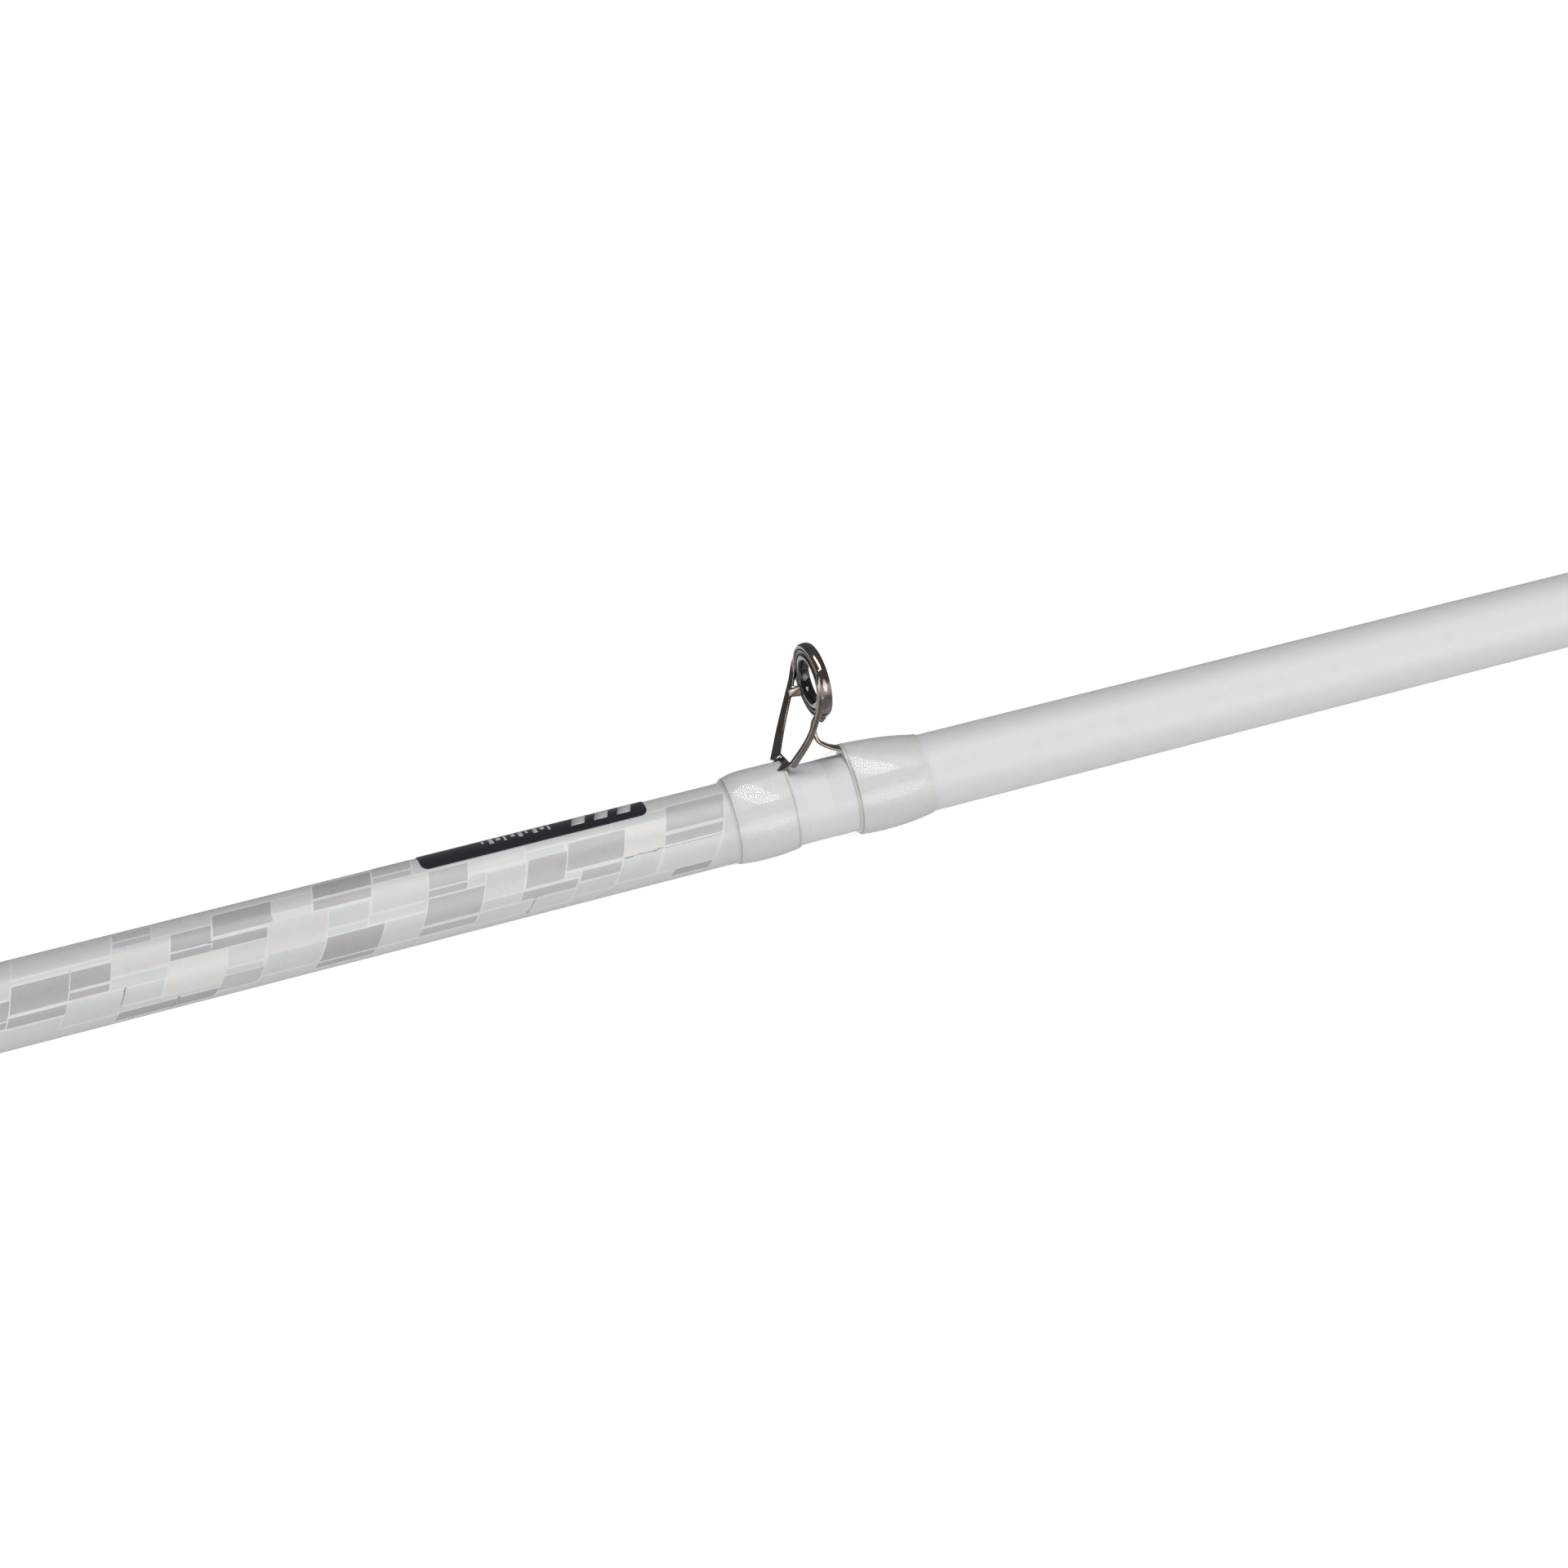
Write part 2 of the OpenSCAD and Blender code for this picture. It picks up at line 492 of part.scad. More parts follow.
module guide_frame(i) color("dimgray") {
    s = guide_scale(i);
    difference() {
        union() {
            feet(i);
            for (side = [-1, 1]) {
                if (i < two_foot_guides) {
                    bar(curve(arm(i, side), 3), [0.8 * s, 0.8 * s], [0.95 * s, 1.1 * s]);
                    bar(web(i, side), [0.7 * s, 0.7 * s], [1.9 * s, 1.6 * s]);
                } else
                    bar(curve(single_arm(i, side), 2), [0.75 * s, 0.75 * s], [1.0 * s, 1.1 * s]);
            }
            if (i < two_foot_guides)
                translate([guide_x(i), 0, 0]) rotate([0, 0, guide_yaw(i)]) translate([-guide_x(i), 0, 0])
                    bar(shield(i), [5.0 * s, 1.9 * s], [0.75 * s, 0.75 * s]);
            at_ring(i) rim(ring_d[i], rim_r(i), rim_w * sqrt(s));
        }
        at_ring(i) rotate([0, 90, 0]) cylinder(d = ring_d[i] + 2 * fit_gap, h = 8, center = true);
    }
}

module guide_ring(i) color("black")
    at_ring(i) ceramic_ring(ring_d[i], ring_bore_d[i], ring_w * sqrt(guide_scale(i)));

// A thread wrap over a foot: a lens around the blank with a ridge on top, less the blank and the foot.
// The ridge climbs over rise[0] from x0 to top[0] above the blank, and falls over rise[1] from top[1] to x1.
module foot_wrap(i, x0, x1, top, rise, lift) {
    s = guide_scale(i);
    ridge_r = 2.7 * s;
    xg = guide_x(i);
    base = blank_r(xg + (x0 + x1) / 2);
    swell = [[0.04, 0.05], [0.2, 0.5], [0.5, 0.83], [1, 1]];
    ridge = concat([for (q = swell) [x0 + rise[0] * s * q[0], ridge_r + top[0] * s * q[1]]],
                   [for (q = reversed(swell)) [x1 - rise[1] * s * q[0], ridge_r + top[1] * s * q[1]]]);
    difference() {
        union() {
            lathe(concat([[xg + x0, 0]], lens(xg + x0, xg + x1, wrap_peak * sqrt(s), lift), [[xg + x1, 0]]));
            translate([xg, 0, base - ridge_r]) lathe(concat([[ridge[0][0], 0]], ridge, [[ridge[7][0], 0]]));
        }
        blank_core(xg + x0 - 1, xg + x1 + 1, bond_gap + lift);
        feet(i, 0.06);
    }
}

module guide_wraps(i) color("gainsboro") {
    s = guide_scale(i);
    if (i < two_foot_guides) {
        foot_wrap(i, rear_wrap[0] * s, rear_wrap[1] * s, [1.35, 1.4], [4.4, 1.6], i == 0 ? sleeve_t + 0.02 : 0);
        foot_wrap(i, front_wrap[0] * s, front_wrap[1] * s, [1.8, 0.95], [1.6, 3.4], 0);
    } else {
        foot_wrap(i, single_wrap[0] * s, single_wrap[1] * s, [1.15, 1.35], [3, 1.5], 0);
    }
}

// ---- Tip-top -----------------------------------------------------------------------------------

tip_ring_d = 5.5;
tip_ring_bore = 3.7;
tip_ring_x = blank_end + 5.5;
tip_ring_z = 4.6;
tip_rim_r = tip_ring_d / 2 + 1.1;
tip_tube_t = 0.45;

module tip_top_frame() color("dimgray") difference() {
    tube_x = blank_end - tip_tube_l;
    union() {
        lathe([[tube_x, 0], [tube_x, seat_r(tube_x) + tip_tube_t], [blank_end + 1.2, seat_r(tube_x) + tip_tube_t], [blank_end + 1.2, 0]]);
        translate([tip_ring_x, 0, tip_ring_z]) rim(tip_ring_d, tip_rim_r, 1.8);
        for (side = [-1, 1])
            bar(curve([[blank_end - 5, side * 1.2, 0.9], [blank_end - 1, side * 1.5, 1.0], [blank_end + 2.4, side * 2.6, 2.6],
                       [tip_ring_x - 0.4, side * 0.92 * tip_rim_r, tip_ring_z]], 3), [0.8, 0.8], [1.0, 1.0]);
        bar(curve([[blank_end - 3, 0, -0.9], [blank_end + 1, 0, -1.0], [blank_end + 3.6, 0, -0.4],
                   [tip_ring_x - 0.2, 0, tip_ring_z - tip_rim_r + 0.5]], 3), [1.1, 1.1], [0.8, 0.8]);
    }
    blank_core(tube_x - 1, blank_end + 0.1);
    translate([tip_ring_x - 4, 0, tip_ring_z]) rotate([0, 90, 0]) cylinder(d = tip_ring_d + 2 * fit_gap, h = 8);
}

module tip_top_ring() color("black")
    translate([tip_ring_x, 0, tip_ring_z]) ceramic_ring(tip_ring_d, tip_ring_bore, 1.4);

module tip_top_wrap() color("gainsboro")
    plain_wrap(blank_end - tip_tube_l - 5, blank_end - tip_tube_l - 0.2, 0.4);

// ---- Nodes -------------------------------------------------------------------------------------

butt_cap();
cap_ring();
rear_grip();
rear_check();
blank_butt();
seat_check();
reel_seat();
seat_arbors();
sliding_hood();
lock_nut();
fore_grip();
front_check();
hook_keeper();
keeper_wraps();
graphic_sleeve();
label();
ferrule_trim();
blank_tip();
ferrule_wrap();
tip_top_frame();
tip_top_ring();
tip_top_wrap();
for (i = [0:GUIDES - 1]) {
    guide_frame(i);
    guide_ring(i);
    guide_wraps(i);
}
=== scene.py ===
import math

import bpy
import numpy as np
from mathutils import Matrix, Vector


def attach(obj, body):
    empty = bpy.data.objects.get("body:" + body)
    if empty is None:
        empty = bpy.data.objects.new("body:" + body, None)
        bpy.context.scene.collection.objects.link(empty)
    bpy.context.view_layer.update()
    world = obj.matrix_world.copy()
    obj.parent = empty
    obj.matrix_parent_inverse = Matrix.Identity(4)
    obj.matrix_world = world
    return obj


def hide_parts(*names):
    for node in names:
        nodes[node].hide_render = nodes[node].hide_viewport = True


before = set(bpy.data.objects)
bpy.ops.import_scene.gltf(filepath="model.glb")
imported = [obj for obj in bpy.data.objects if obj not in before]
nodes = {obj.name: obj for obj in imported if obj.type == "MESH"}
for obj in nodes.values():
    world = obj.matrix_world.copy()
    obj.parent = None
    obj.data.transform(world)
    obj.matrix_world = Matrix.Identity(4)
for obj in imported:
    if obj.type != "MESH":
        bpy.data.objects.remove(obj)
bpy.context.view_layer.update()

MM = 0.001


# ---- Sizes of the rod, in millimetres ---------------------------------------------------------------

BLANK_END = 1975
BUTT_D, TIP_D, TAPER = 14.4, 2.0, 1.15
WALL_BUTT, WALL_TIP = 1.2, 0.45
SPLIT_X, FERRULE_OVERLAP, FERRULE_WALL, FERRULE_RUN_OUT, FERRULE_GAP = 990, 60, 1.1, 22, 0.02
GUIDE_X = [640, 870, 1070, 1245, 1400, 1537, 1660, 1770, 1870]
RING_D = [8, 7, 6, 5.5, 5.5, 5, 5, 5, 5]
RING_BORE = [5.9, 4.8, 4.1, 3.7, 3.7, 3.3, 3.3, 3.3, 3.3]
RING_H = [11.7, 9.4, 7.6, 6.4, 5.8, 5.3, 5.1, 4.8, 4.6]
TWO_FOOT_GUIDES = 3
FRONT_GUIDES = 2
YAW = math.radians(6.5)
STRIPPER_X = GUIDE_X[0]
FILM_X0, FILM_X1, FILM_T = 391.4, 624.5, 0.14
LABEL_X0, LABEL_X1, LABEL_ANGLE, LABEL_T = 580.9, 613.3, 28.4, 0.12
GLUE = 0.03
THREAD_PITCH = 0.25


def mix(a, b, t):
    return a + (b - a) * t


def blank_r(x):
    return (BUTT_D - (BUTT_D - TIP_D) * (max(x, 0) / BLANK_END) ** TAPER) / 2


def bore_r(x):
    return blank_r(x) - mix(WALL_BUTT, WALL_TIP, x / BLANK_END)


def ramp(points, x):
    """Height at x of a line through given (x, height) points."""
    return float(np.interp(x, [p[0] for p in points], [p[1] for p in points]))


def eased(points, x, reach):
    """The same line with its corners rounded over a reach on each side of x."""
    return sum(0.2 * ramp(points, x + k * reach) for k in (-1, -0.5, 0, 0.5, 1))


def guide_scale(i):
    """A guide's size over the stripper guide's."""
    return RING_D[i] / 8


def rim_r(i):
    return RING_D[i] / 2 + 1.4 * math.sqrt(guide_scale(i))


# ---- Materials --------------------------------------------------------------------------------------

def srgb(r, g, b):
    """Linear colour of an 8-bit display colour."""
    out = []
    for v in (r, g, b):
        c = v / 255
        out.append(c / 12.92 if c <= 0.04045 else ((c + 0.055) / 1.055) ** 2.4)
    return (*out, 1.0)


def shaded(color, factor):
    return (*[min(1, c * factor) for c in color[:3]], 1.0)


def new_material(name, roughness, **sockets):
    """A material with its Principled shader; sockets are that shader's own values."""
    material = bpy.data.materials.new(name)
    material.use_nodes = True
    shader = material.node_tree.nodes["Principled BSDF"]
    shader.inputs["Roughness"].default_value = roughness
    for key, value in sockets.items():
        shader.inputs[key.replace("_", " ")].default_value = value
    return material, material.node_tree, shader


def place(tree, scale=(1, 1, 1)):
    """Object coordinates in millimetres, stretched by scale."""
    coords = tree.nodes.new("ShaderNodeTexCoord")
    mapping = tree.nodes.new("ShaderNodeMapping")
    mapping.inputs["Scale"].default_value = [1000 * s for s in scale]
    tree.links.new(coords.outputs["Object"], mapping.inputs["Vector"])
    return mapping.outputs["Vector"]


def noise(tree, vector, scale, detail=4):
    node = tree.nodes.new("ShaderNodeTexNoise")
    node.inputs["Scale"].default_value = scale
    node.inputs["Detail"].default_value = detail
    node.inputs["Roughness"].default_value = 0.6
    tree.links.new(vector, node.inputs["Vector"])
    return node.outputs["Fac"]


def spread(tree, value, low, high, start=0.3, end=0.7):
    """Maps a texture's value from start..end onto low..high."""
    node = tree.nodes.new("ShaderNodeMapRange")
    node.inputs["From Min"].default_value = start
    node.inputs["From Max"].default_value = end
    node.inputs["To Min"].default_value = low
    node.inputs["To Max"].default_value = high
    tree.links.new(value, node.inputs["Value"])
    return node.outputs["Result"]


def blend_colors(tree, factor, a, b):
    """Colour a where factor is 0 and b where it is 1; either may be a socket."""
    node = tree.nodes.new("ShaderNodeMix")
    node.data_type = "RGBA"
    tree.links.new(factor, node.inputs["Factor"])
    for key, value in (("A", a), ("B", b)):
        socket = [s for s in node.inputs if s.name == key and s.type == "RGBA"][0]
        if isinstance(value, tuple):
            socket.default_value = value
        else:
            tree.links.new(value, socket)
    return [s for s in node.outputs if s.type == "RGBA"][0]


def bump(tree, height, distance_mm, socket, strength=1.0):
    """Lets a height field shape the normal that goes into a shader's socket."""
    node = tree.nodes.new("ShaderNodeBump")
    node.inputs["Distance"].default_value = distance_mm * MM
    node.inputs["Strength"].default_value = strength
    tree.links.new(height, node.inputs["Height"])
    tree.links.new(node.outputs["Normal"], socket)


def clouded(tree, vector, scale, dark, light):
    """A colour that drifts between two in clouds of a scale."""
    return blend_colors(tree, spread(tree, noise(tree, vector, scale), 0, 1), dark, light)


def painted(name, color, roughness=0.3, coat=0.0, specular=0.3, grain=0.004, mottle=0.02):
    """Smooth paint or ink: faint mottling, uneven gloss and a very fine orange peel."""
    gloss = {"Coat_Weight": coat, "Coat_Roughness": 0.12, "Specular_IOR_Level": specular}
    material, tree, shader = new_material(name, roughness, **gloss)
    at = place(tree)
    cloud = noise(tree, at, 0.45)
    speck = noise(tree, at, 9, detail=2)
    dark, light = shaded(color, 1 - mottle), shaded(color, 1 + mottle)
    base = blend_colors(tree, spread(tree, cloud, 0, 1), dark, light)
    specks = spread(tree, speck, 0, 1, 0.62, 0.8)
    dusty = blend_colors(tree, specks, base, shaded(color, 1 - 2 * mottle))
    tree.links.new(dusty, shader.inputs["Base Color"])
    tree.links.new(spread(tree, cloud, roughness - 0.05, roughness + 0.06), shader.inputs["Roughness"])
    bump(tree, noise(tree, at, 5, detail=3), grain, shader.inputs["Normal"])
    return material


def turned_metal(name, color, roughness, edge=1.3):
    """Metal with fine lathe lines across X, uneven polish and brighter worn edges."""
    material, tree, shader = new_material(name, roughness, Metallic=1.0)
    across = noise(tree, place(tree, (1, 0.04, 0.04)), 14, detail=3)
    geometry = tree.nodes.new("ShaderNodeNewGeometry")
    wear_and_edge_highlight = spread(tree, geometry.outputs["Pointiness"], 0, 1, 0.51, 0.6)
    base = clouded(tree, place(tree), 0.6, shaded(color, 0.88), shaded(color, 1.12))
    tree.links.new(blend_colors(tree, wear_and_edge_highlight, base, shaded(color, edge)), shader.inputs["Base Color"])
    tree.links.new(spread(tree, across, roughness * 0.8, roughness * 1.3), shader.inputs["Roughness"])
    bump(tree, across, 0.006, shader.inputs["Normal"])
    return material


def foam(name):
    """Dense closed-cell foam: fine cells, a few light grains and a soft sheen."""
    material, tree, shader = new_material(name, 0.82, Sheen_Weight=0.35, Sheen_Roughness=0.5)
    at = place(tree)
    cells = tree.nodes.new("ShaderNodeTexVoronoi")
    cells.inputs["Scale"].default_value = 1.9
    tree.links.new(at, cells.inputs["Vector"])
    cloud = noise(tree, at, 0.25)
    base = blend_colors(tree, spread(tree, cloud, 0, 1), srgb(38, 38, 40), srgb(52, 52, 54))
    grain = spread(tree, cells.outputs["Distance"], 0, 1, 0.02, 0.42)
    tree.links.new(blend_colors(tree, grain, srgb(64, 64, 66), base), shader.inputs["Base Color"])
    tree.links.new(spread(tree, cloud, 0.74, 0.9), shader.inputs["Roughness"])
    bump(tree, cells.outputs["Distance"], 0.12, shader.inputs["Normal"], 0.7)
    return material


def rubber(name):
    """Soft rubber with a matt grain."""
    material, tree, shader = new_material(name, 0.55)
    at = place(tree)
    grain = noise(tree, at, 4, detail=6)
    base = clouded(tree, at, 0.3, srgb(34, 34, 36), srgb(50, 50, 52))
    tree.links.new(base, shader.inputs["Base Color"])
    tree.links.new(spread(tree, grain, 0.45, 0.68), shader.inputs["Roughness"])
    bump(tree, grain, 0.03, shader.inputs["Normal"])
    return material


def composite(name):
    """Reel seat of black composite with a twill of fibres under a satin surface."""
    material, tree, shader = new_material(name, 0.36, Coat_Weight=0.4, Coat_Roughness=0.22)
    at = place(tree)
    split = tree.nodes.new("ShaderNodeSeparateXYZ")
    tree.links.new(at, split.inputs["Vector"])

    def math_node(operation, a, b=0.0):
        node = tree.nodes.new("ShaderNodeMath")
        node.operation = operation
        for socket, value in zip(node.inputs, (a, b)):
            if isinstance(value, (int, float)):
                socket.default_value = value
            else:
                tree.links.new(value, socket)
        return node.outputs["Value"]

    around = math_node("MULTIPLY", math_node("ARCTAN2", split.outputs["Y"], split.outputs["Z"]), 12.2)
    joined = tree.nodes.new("ShaderNodeCombineXYZ")
    tree.links.new(math_node("ADD", split.outputs["X"], around), joined.inputs["X"])
    tree.links.new(math_node("SUBTRACT", split.outputs["X"], around), joined.inputs["Y"])
    weave = tree.nodes.new("ShaderNodeTexChecker")
    weave.inputs["Scale"].default_value = 0.7
    tree.links.new(joined.outputs["Vector"], weave.inputs["Vector"])
    strands = noise(tree, joined.outputs["Vector"], 3.5, detail=2)
    cloth = blend_colors(tree, weave.outputs["Fac"], srgb(30, 30, 33), srgb(52, 52, 57))
    base = blend_colors(tree, spread(tree, strands, 0, 0.6), cloth, srgb(40, 40, 44))
    tree.links.new(base, shader.inputs["Base Color"])
    tree.links.new(spread(tree, noise(tree, at, 0.5), 0.28, 0.42), shader.inputs["Roughness"])
    bump(tree, noise(tree, at, 7, detail=3), 0.008, shader.inputs["Normal"])
    return material


def thread(name, color):
    """Wound thread: ridges at the thread's pitch across X, with painted shade in the valleys and a silky
    sheen.
    """
    gloss = {"Sheen_Weight": 0.15, "Coat_Weight": 0.5, "Coat_Roughness": 0.08}
    material, tree, shader = new_material(name, 0.42, **gloss)
    at = place(tree)
    wave = tree.nodes.new("ShaderNodeTexWave")
    wave.bands_direction = "X"
    wave.inputs["Scale"].default_value = 2 * math.pi / (20 * THREAD_PITCH)
    wave.inputs["Distortion"].default_value = 0.25
    wave.inputs["Detail Scale"].default_value = 0.4
    tree.links.new(at, wave.inputs["Vector"])
    base = clouded(tree, at, 0.8, shaded(color, 0.95), shaded(color, 1.04))
    # Painted shade: the valleys between the ridges get a darker colour.
    painted_valley_shade = spread(tree, wave.outputs["Fac"], 0, 1, 0.0, 0.5)
    tree.links.new(blend_colors(tree, painted_valley_shade, shaded(color, 0.91), base), shader.inputs["Base Color"])
    bump(tree, wave.outputs["Fac"], 0.03, shader.inputs["Normal"], 0.7)
    return material


def epoxy(name):
    """Clear coat of epoxy: nearly all see-through, with sharp reflections on a slightly wavy skin."""
    gloss = {"Alpha": 0.12, "Coat_Weight": 1.0, "Coat_Roughness": 0.015, "Coat_IOR": 1.7}
    material, tree, shader = new_material(name, 0.05, **gloss)
    at = place(tree)
    cloud = noise(tree, at, 0.35, detail=2)
    base = blend_colors(tree, spread(tree, cloud, 0, 1), srgb(246, 246, 246), srgb(252, 252, 252))
    tree.links.new(base, shader.inputs["Base Color"])
    bump(tree, cloud, 0.02, shader.inputs["Coat Normal"], 0.35)
    return material


def ceramic(name):
    """Polished black ceramic."""
    material, tree, shader = new_material(name, 0.07, Coat_Weight=0.6, Coat_Roughness=0.03)
    at = place(tree)
    base = clouded(tree, at, 1.5, srgb(12, 12, 14), srgb(22, 22, 25))
    tree.links.new(base, shader.inputs["Base Color"])
    tree.links.new(spread(tree, noise(tree, at, 9), 0.05, 0.12), shader.inputs["Roughness"])
    bump(tree, noise(tree, at, 12), 0.001, shader.inputs["Normal"])
    return material


def smoked_metal(name):
    """Polished dark-smoked metal of the guides: brown-black, mirror-like, with faint polishing marks and a
    painted highlight of lighter colour along sharp edges.
    """
    material, tree, shader = new_material(name, 0.13, Metallic=1.0, Coat_Weight=0.2, Coat_Roughness=0.04)
    at = place(tree)
    marks = noise(tree, place(tree, (0.4, 1, 2)), 6, detail=3)
    geometry = tree.nodes.new("ShaderNodeNewGeometry")
    # Painted highlight: sharp edges get a lighter base colour.
    wear_and_edge_highlight = spread(tree, geometry.outputs["Pointiness"], 0, 1, 0.52, 0.62)
    base = clouded(tree, at, 0.9, (0.2, 0.17, 0.152, 1), (0.29, 0.25, 0.225, 1))
    tree.links.new(blend_colors(tree, wear_and_edge_highlight, base, (0.42, 0.38, 0.34, 1)), shader.inputs["Base Color"])
    tree.links.new(spread(tree, marks, 0.09, 0.2), shader.inputs["Roughness"])
    bump(tree, marks, 0.004, shader.inputs["Normal"])
    return material


# The shades of the printed film's blocks.
TONES = {
    "dark": srgb(186, 183, 185),
    "mid": srgb(196, 194, 195),
    "lavender": srgb(205, 203, 207),
    "warm": srgb(221, 220, 219),
    "pale": srgb(229, 227, 224),
    "green": srgb(215, 218, 217),
}
white_paint = painted("satin_white_paint", srgb(229, 229, 232), roughness=0.42)
film_ink = painted("film_grey", srgb(219, 219, 218))
line_ink = painted("film_line", srgb(230, 230, 230))
block_inks = {tone: painted("film_" + tone, color) for tone, color in TONES.items()}
label_ink = painted("label_navy", srgb(38, 36, 48), roughness=0.2, coat=0.5, mottle=0.12)
mark_ink = painted("label_marks", srgb(206, 205, 208))
grey_thread = thread("wound_thread", srgb(227, 226, 225))
# The end turns' darker colour is a painted shade line where a thread wrap ends.
turn_shade_thread = thread("end_turns_painted_shade", srgb(190, 188, 186))
clear_epoxy = epoxy("clear_epoxy")
guide_metal = smoked_metal("smoked_guide_metal")
ring_black = ceramic("polished_ceramic")
cushion_black = painted("ring_cushion", srgb(30, 29, 31), 0.25, specular=0.5, mottle=0.15)
grip_foam = foam("grip_foam")
cap_rubber = rubber("cap_rubber")
aluminium = turned_metal("turned_aluminium", (0.62, 0.62, 0.64, 1), 0.28)
gunmetal = turned_metal("anodised_gunmetal", (0.16, 0.155, 0.155, 1), 0.3, edge=2.4)
seat_composite = composite("seat_composite")
arbor_foam = painted("arbor_foam", srgb(205, 186, 148), roughness=0.8, grain=0.08, mottle=0.1)


# ---- Mesh helpers -----------------------------------------------------------------------------------

TUBE_AROUND = 128
RING_AROUND = 96
BAR_AROUND = 16


def add_mesh(name, points, faces, material, body):
    """A mesh object from points in millimetres, riding on its body and named with its material slot."""
    mesh = bpy.data.meshes.new(name)
    mesh.from_pydata([tuple(c * MM for c in p) for p in points], [], faces)
    mesh.materials.append(material)
    mesh.polygons.foreach_set("use_smooth", [True] * len(mesh.polygons))
    mesh.update()
    piece = bpy.data.objects.new(name, mesh)
    bpy.context.scene.collection.objects.link(piece)
    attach(piece, body)
    return piece


def soften(piece, angle=35):
    """Smooth shading that keeps edges sharper than the angle."""
    chosen = {"object": piece, "active_object": piece}
    chosen.update({"selected_editable_objects": [piece], "selected_objects": [piece]})
    with bpy.context.temp_override(**chosen):
        bpy.ops.object.shade_smooth_by_angle(angle=math.radians(angle))


def ring_faces(rings, around, closed_along=False):
    """Quads between consecutive rings of points; a closed shell joins the last ring to the first."""
    faces = []
    for a in range(rings if closed_along else rings - 1):
        b = (a + 1) % rings
        for j in range(around):
            k = (j + 1) % around
            faces.append((a * around + j, b * around + j, b * around + k, a * around + k))
    return faces


def sheet_faces(rows, columns):
    """Faces of a closed sheet: a lower grid of points and then an upper one, and the rim between them."""
    row = columns + 1
    upper = (rows + 1) * row
    faces = []
    for i in range(rows):
        for j in range(columns):
            a = i * row + j
            faces.append((a, a + 1, a + row + 1, a + row))
            faces.append((upper + a, upper + a + row, upper + a + row + 1, upper + a + 1))
        for a, b in ((i * row, (i + 1) * row), ((i + 1) * row + columns, i * row + columns)):
            faces.append((a, b, upper + b, upper + a))
    for j in range(columns):
        for a, b in ((j + 1, j), (rows * row + j, rows * row + j + 1)):
            faces.append((a, b, upper + b, upper + a))
    return faces


def lathe_points(profile, around, centre=(0, 0, 0), yaw=0.0):
    """Points of a profile of (x, radius) turned about X, moved to centre and turned about the upright."""
    points = []
    for x, r in profile:
        for j in range(around):
            a = 2 * math.pi * j / around
            y = r * math.sin(a)
            points.append((centre[0] + x * math.cos(yaw) - y * math.sin(yaw),
                           centre[1] + x * math.sin(yaw) + y * math.cos(yaw),
                           centre[2] + r * math.cos(a)))
    return points


def tube(name, outside, inside, material, body):
    """A lathed sleeve with an outside and an inside, both lists of (x, radius)."""
    profile = list(outside) + list(reversed(inside))
    faces = ring_faces(len(profile), TUBE_AROUND, closed_along=True)
    piece = add_mesh(name, lathe_points(profile, TUBE_AROUND), faces, material, body)
    soften(piece)
    return piece


def steps(a, b, step):
    """Values from a to b in equal steps, no longer than step."""
    n = max(1, math.ceil((b - a) / step))
    return [mix(a, b, i / n) for i in range(n + 1)]


def rounded_profile(x0, x1, r0, r1, radius, n=5):
    """A closed rounded rectangle of (x, radius) points for a lathed ring."""
    corners = ((x1 - radius, r1 - radius, 0), (x0 + radius, r1 - radius, 90),
               (x0 + radius, r0 + radius, 180), (x1 - radius, r0 + radius, 270))
    points = []
    for cx, cr, start in corners:
        for k in range(n + 1):
            a = math.radians(start + 90 * k / n)
            points.append((cx + radius * math.cos(a), cr + radius * math.sin(a)))
    return points


def smooth_path(points, k):
    """Catmull-Rom curve through given points, with k steps between each two."""
    p = [np.array(q, float) for q in points]
    out = []
    for i in range(len(p) - 1):
        a, b, c, d = p[max(i - 1, 0)], p[i], p[i + 1], p[min(i + 2, len(p) - 1)]
        for j in range(k):
            t = j / k
            square, cube = 2 * a - 5 * b + 4 * c - d, 3 * b - a - 3 * c + d
            out.append(0.5 * (2 * b + (c - a) * t + square * t ** 2 + cube * t ** 3))
    out.append(p[-1])
    return out


def bar(path, width, thick, squareness=3.2, twist=0.0):
    """Points and faces of a closed bar of rounded section swept along a path.

    The width lies across X and the thickness across the path. twist turns both about it, in degrees."""
    turn_c, turn_s = math.cos(math.radians(twist)), math.sin(math.radians(twist))
    n = len(path)
    points = []
    for i in range(n):
        t = path[min(i + 1, n - 1)] - path[max(i - 1, 0)]
        t = t / np.linalg.norm(t)
        side = np.array((0, 1, 0)) - t[1] * t
        side = side / np.linalg.norm(side)
        up = np.cross(t, side)
        side, up = side * turn_c - up * turn_s, up * turn_c + side * turn_s
        a = mix(width[0], width[1], i / (n - 1)) / 2
        b = mix(thick[0], thick[1], i / (n - 1)) / 2
        for j in range(BAR_AROUND):
            w = 2 * math.pi * j / BAR_AROUND
            c, s = math.cos(w), math.sin(w)
            r = (abs(c) ** squareness + abs(s) ** squareness) ** (-1 / squareness)
            points.append(path[i] + side * a * c * r + up * b * s * r)
    faces = [tuple(reversed(f)) for f in ring_faces(n, BAR_AROUND)]
    faces.append(tuple(range(BAR_AROUND)))
    faces.append(tuple(reversed(range((n - 1) * BAR_AROUND, n * BAR_AROUND))))
    return [tuple(p) for p in points], faces


def merged(parts):
    """One list of points and one of faces from several."""
    points, faces = [], []
    for p, f in parts:
        start = len(points)
        points += p
        faces += [tuple(v + start for v in face) for face in f]
    return points, faces


